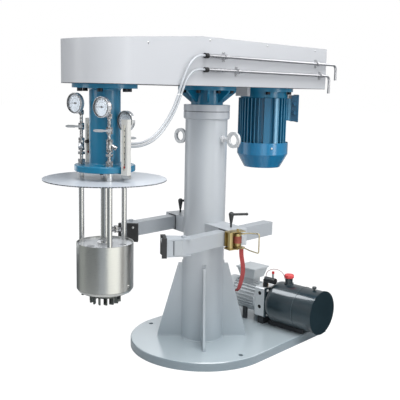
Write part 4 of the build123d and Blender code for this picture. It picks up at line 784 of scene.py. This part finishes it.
dress(meter_finish(), "rotameters")
dress(black_plastic, "rotameter_knob")
scale_print = scale_finish()
float_red = moulded("float_red", srgb(150, 34, 36), roughness=0.3)
sides = np.array([-STRIP_HALF, STRIP_HALF])
for name, (x, y, low, high) in METERS.items():
    window = np.array([x, y, 0]) + FACE * WINDOW_DEPTH
    heights = np.linspace(low, high, 3)
    strip = window + LEFTWARD * sides[:, None] + np.array([0, 0, 1]) * heights[:, None, None]
    made(f"scale_{name}", strip, scale_print, "beam", loop=False)
    spot = window + FACE * FLOAT_PROUD + [0, 0, low + FLOAT_RISE]
    made(f"float_{name}", turned(FLOAT, spot, (0, 0, 1), 16), float_red, "beam")

# Wash lances
# Two bent stainless pipes in thicker sleeves, in clips with small screws on the hood's side.
# Black rubber caps join the hoses; they are told from the pipes by their place.
CAP_X = -0.2298
CLIPS = ((-0.104, 1.533), (0.704, 1.533), (-0.006, 1.468), (0.747, 1.468))
CLIP_Y = -0.1942
CLIP_SPREAD = 0.019
CLIP_SCREW = [(0, -0.001), (0.0042, -0.001), (0.0042, 0.004), (0.0024, 0.0046), (0.0024, 0.0095), (0, 0.010)]


def lance_finish():
    finish = Finish("lance_metal")
    lines = finish.noise(60.0, (16, 1, 1), detail=5.0)
    cap = finish.x < CAP_X
    body = finish.mixed(lines, srgb(184, 184, 188), srgb(216, 216, 218))
    return finish.done(Base_Color=finish.mixed(cap, body, srgb(10, 10, 12)), Metallic=1.0 - cap,
                       Roughness=0.2 + 0.14 * lines + 0.3 * cap)


dress(lance_finish(), "lances")
clip_screws = [(x, CLIP_Y, z + spread) for x, z in CLIPS for spread in (-CLIP_SPREAD, CLIP_SPREAD)]
made("clip_screws", turned(CLIP_SCREW, clip_screws, (0, -1, 0), 12), bright_zinc, "beam")

# Clear hoses
# Two hoses of milky clear plastic, 11 mm thick, from the lances' caps down to the tails of the right valve
# stack. They hang side by side, tied once under the hood by a white band.
UPPER_ROUTE = [
    (-0.252, -0.206, 1.533), (-0.292, -0.206, 1.533), (-0.338, -0.207, 1.507), (-0.374, -0.207, 1.463),
    (-0.402, -0.205, 1.406), (-0.422, -0.201, 1.346), (-0.448, -0.197, 1.288), (-0.486, -0.194, 1.234),
    (-0.532, -0.193, 1.188), (-0.583, -0.189, 1.153), (-0.62052, -0.15773, 1.133),
    (-0.64461, -0.13098, 1.133)]
LOWER_ROUTE = [
    (-0.252, -0.206, 1.468), (-0.290, -0.206, 1.468), (-0.328, -0.207, 1.460), (-0.362, -0.207, 1.434),
    (-0.388, -0.205, 1.393), (-0.407, -0.201, 1.340), (-0.435, -0.197, 1.279), (-0.476, -0.194, 1.222),
    (-0.522, -0.193, 1.175), (-0.578, -0.189, 1.139), (-0.62052, -0.15773, 1.120),
    (-0.64461, -0.13098, 1.120)]
HOSE_R = 0.0055
BAND_Z = 1.352
BAND_HALF = 0.003


def hose_finish():
    """Milky soft plastic with a faint haze along it, and a white band round both hoses."""
    finish = Finish("clear_hose")
    haze = finish.noise(14.0)
    band = abs(finish.z - BAND_Z) < BAND_HALF
    body = finish.mixed(haze, srgb(150, 156, 162), srgb(198, 201, 205))
    body = finish.mixed(band, body, srgb(230, 231, 232))
    return finish.done(Base_Color=body, Roughness=0.36 + 0.1 * haze, Coat_Weight=0.4, Coat_Roughness=0.3)


hose_plastic = hose_finish()
for name, route, length in (("upper", UPPER_ROUTE, 0.610), ("lower", LOWER_ROUTE, 0.576)):
    hose = cable(f"clear_hose_{name}", route, HOSE_R, 5, hose_plastic)
    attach(hose, "beam")
    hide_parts(f"hose_{name}")

# Studio
# A pale floor, a white surround, softboxes, and cards that only bare metal and gloss paint mirror.
# The camera stands where the photograph was taken.
FLOOR_REACH = 40


def surround(tree, glow, strength, share, lit, out):
    """Mix of a lit shader and plain white; camera and glass rays take the white by a share."""
    nodes = tree.nodes
    path = nodes.new("ShaderNodeLightPath")
    seen = nodes.new("ShaderNodeMath")
    seen.operation = "MAXIMUM"
    part = nodes.new("ShaderNodeMath")
    part.operation = "MULTIPLY"
    part.inputs[1].default_value = share
    white = nodes.new(glow)
    white.inputs["Color"].default_value = (1, 1, 1, 1)
    white.inputs["Strength"].default_value = strength
    mix = nodes.new("ShaderNodeMixShader")
    for source, target in ((path.outputs["Is Camera Ray"], seen.inputs[0]),
                           (path.outputs["Is Transmission Ray"], seen.inputs[1]),
                           (seen.outputs[0], part.inputs[0]), (part.outputs[0], mix.inputs[0]),
                           (lit, mix.inputs[1]), (white.outputs[0], mix.inputs[2]),
                           (mix.outputs[0], out.inputs["Surface"])):
        tree.links.new(source, target)


def staged(name, points, faces, material):
    """A studio surface, outside the object: mesh, material and place in the stage."""
    mesh = bpy.data.meshes.new(name)
    mesh.from_pydata(points, [], faces)
    mesh.materials.append(material)
    piece = bpy.data.objects.new(name, mesh)
    bpy.context.collection.objects.link(piece)
    return piece


world = bpy.data.worlds.new("white_room")
world.use_nodes = True
bpy.context.scene.world = world
world.node_tree.nodes.clear()
sky = world.node_tree.nodes.new("ShaderNodeBackground")
sky.inputs["Color"].default_value = (0.95, 0.975, 1.0, 1)
sky.inputs["Strength"].default_value = 0.5
surround(world.node_tree, "ShaderNodeBackground", 1.0, 1.0, sky.outputs[0],
         world.node_tree.nodes.new("ShaderNodeOutputWorld"))

pale_floor = bpy.data.materials.new("pale_floor")
pale_floor.use_nodes = True
pale_floor.node_tree.nodes.clear()
matt = pale_floor.node_tree.nodes.new("ShaderNodeBsdfDiffuse")
matt.inputs["Color"].default_value = (0.6, 0.605, 0.61, 1)
surround(pale_floor.node_tree, "ShaderNodeEmission", 1.2, 0.8, matt.outputs[0],
         pale_floor.node_tree.nodes.new("ShaderNodeOutputMaterial"))
floor_corners = np.column_stack([UNIT_SQUARE * FLOOR_REACH, [0, 0, 0, 0]])
staged("floor", floor_corners.tolist(), [(0, 1, 2, 3)], pale_floor)


def placed(right, up, back, place):
    """Matrix whose columns are the axes right, up and back, and the place."""
    return Matrix([*np.column_stack([right, up, back, place]).tolist(), [0, 0, 0, 1]])


def look(place, target):
    """Matrix of a lamp at place that points at target: -Z towards it."""
    back = unit(np.array(place, dtype=float) - np.array(target, dtype=float))
    right = unit(np.cross([0, 0, 1], back))
    return placed(right, np.cross(back, right), back, place)


# Each lamp: name, place, target, width, height, watts.
LAMPS = (("key", (-1.9, -3.9, 3.2), (0.0, 0.0, 0.9), 2.2, 2.2, 30),
         ("strip", (0.6, -3.7, 1.5), (0.0, 0.0, 0.9), 0.9, 2.6, 30),
         ("fill", (-4.4, 1.4, 2.4), (-0.2, 0.0, 0.9), 1.6, 2.4, 44),
         ("overhead", (-0.6, -1.6, 4.6), (0.0, -0.1, 0.0), 3.2, 2.4, 190))
for name, place, target, width, height, power in LAMPS:
    lamp = bpy.data.lights.new(name, "AREA")
    lamp.shape = "RECTANGLE"
    lamp.size = width
    lamp.size_y = height
    lamp.energy = power
    holder = bpy.data.objects.new(name, lamp)
    holder.matrix_world = look(place, target)
    bpy.context.collection.objects.link(holder)

# Each card is an arc: name, centre x and y, (radius, height) of both edges, first and last azimuth, glow.
CARD_STEPS = 12
CARDS = (("card_green", HEAD_X, 0, ((1.25, 0.0), (1.25, 1.3)), 150, 207, (0.21, 0.225, 0.225)),
         ("card_blue", HEAD_X, 0, ((1.25, 0.0), (1.25, 1.3)), 207, 240, (0.42, 0.46, 0.50)),
         ("card_cream", HEAD_X, 0, ((1.25, 0.0), (1.25, 1.3)), 240, 286, (1.5, 1.5, 1.4)),
         ("card_brown", HEAD_X, 0, ((1.25, 0.0), (1.25, 1.3)), 292, 306, (0.16, 0.14, 0.12)),
         ("card_pale", HEAD_X, 0, ((1.25, 0.0), (1.25, 1.3)), 309, 322, (0.85, 0.86, 0.86)),
         ("card_roof", -0.40, 1.1, ((0.01, 2.5), (0.6, 2.5)), 0, 360, (8.0, 8.4, 8.8)),
         ("card_far", 3.7, 3.8, ((0.01, 2.5), (0.9, 2.5)), 0, 360, (2.3, 2.4, 2.5)),
         ("card_side", 0, 0, ((1.25, 0.45), (1.25, 1.3)), 105, 138, (1.5, 1.55, 1.6)),
         ("card_lance", 0.3, -0.2, ((3.0, 1.85), (3.0, 3.8)), 315, 372, (2.2, 2.2, 2.2)),
         ("card_floor", 2.7, -1.2, ((0.01, 0.004), (1.3, 0.004)), 0, 360, (0.06, 0.07, 0.08)),
         ("card_lid", 4.6, 6.3, ((0.01, 2.5), (1.1, 2.5)), 0, 360, (1.5, 1.55, 1.6)),
         ("card_edge", HEAD_X, 0, ((1.25, 0.0), (1.25, 0.6)), 112, 150, (0.38, 0.40, 0.38)),
         ("card_left", HEAD_X, 0, ((1.25, 0.0), (1.25, 1.3)), 60, 112, (0.07, 0.08, 0.09)),
         ("card_tank", 0.46, -0.48, ((0.01, 0.003), (1.6, 0.003)), 250, 360, (0.02, 0.03, 0.035)))
card_faces = np.arange(CARD_STEPS)[:, None] + [0, 1, CARD_STEPS + 2, CARD_STEPS + 1]
for name, x, y, edges, first, last, tint in CARDS:
    turn = np.radians(np.linspace(first, last, CARD_STEPS + 1))
    rows = [np.stack([x + radius * np.cos(turn), y + radius * np.sin(turn), 0 * turn + z], axis=-1)
            for radius, z in edges]
    glow = bpy.data.materials.new(name)
    glow.use_nodes = True
    shader = glow.node_tree.nodes["Principled BSDF"]
    shader.inputs["Base Color"].default_value = (0, 0, 0, 1)
    shader.inputs["Roughness"].default_value = 1.0
    shader.inputs["Specular IOR Level"].default_value = 0.0
    shader.inputs["Emission Color"].default_value = (*tint, 1)
    shader.inputs["Emission Strength"].default_value = 1.0
    card = staged(name, np.concatenate(rows).tolist(), card_faces.tolist(), glow)
    card.visible_camera = False
    card.visible_diffuse = False
    card.visible_shadow = False
    card.visible_transmission = False

YAW, PITCH, ROLL = np.radians([47.79, 9.253, 1.229])
CAMERA_PLACE = (-2.6584, -2.3774, 1.3771)
LENS_MM = 61.2
ahead = np.array([np.sin(YAW) * np.cos(PITCH), np.cos(YAW) * np.cos(PITCH), -np.sin(PITCH)])
level = np.array([np.cos(YAW), -np.sin(YAW), 0])
rising = np.cross(level, ahead)
right = level * np.cos(ROLL) + rising * np.sin(ROLL)
up = rising * np.cos(ROLL) - level * np.sin(ROLL)
camera_data = bpy.data.cameras.new("camera")
camera_data.lens = LENS_MM
camera_data.sensor_width = 36
camera_data.clip_end = 100
camera = bpy.data.objects.new("camera", camera_data)
camera.matrix_world = placed(right, up, -ahead, CAMERA_PLACE)
bpy.context.collection.objects.link(camera)
bpy.context.scene.camera = camera
bpy.context.scene.view_settings.view_transform = "Standard"
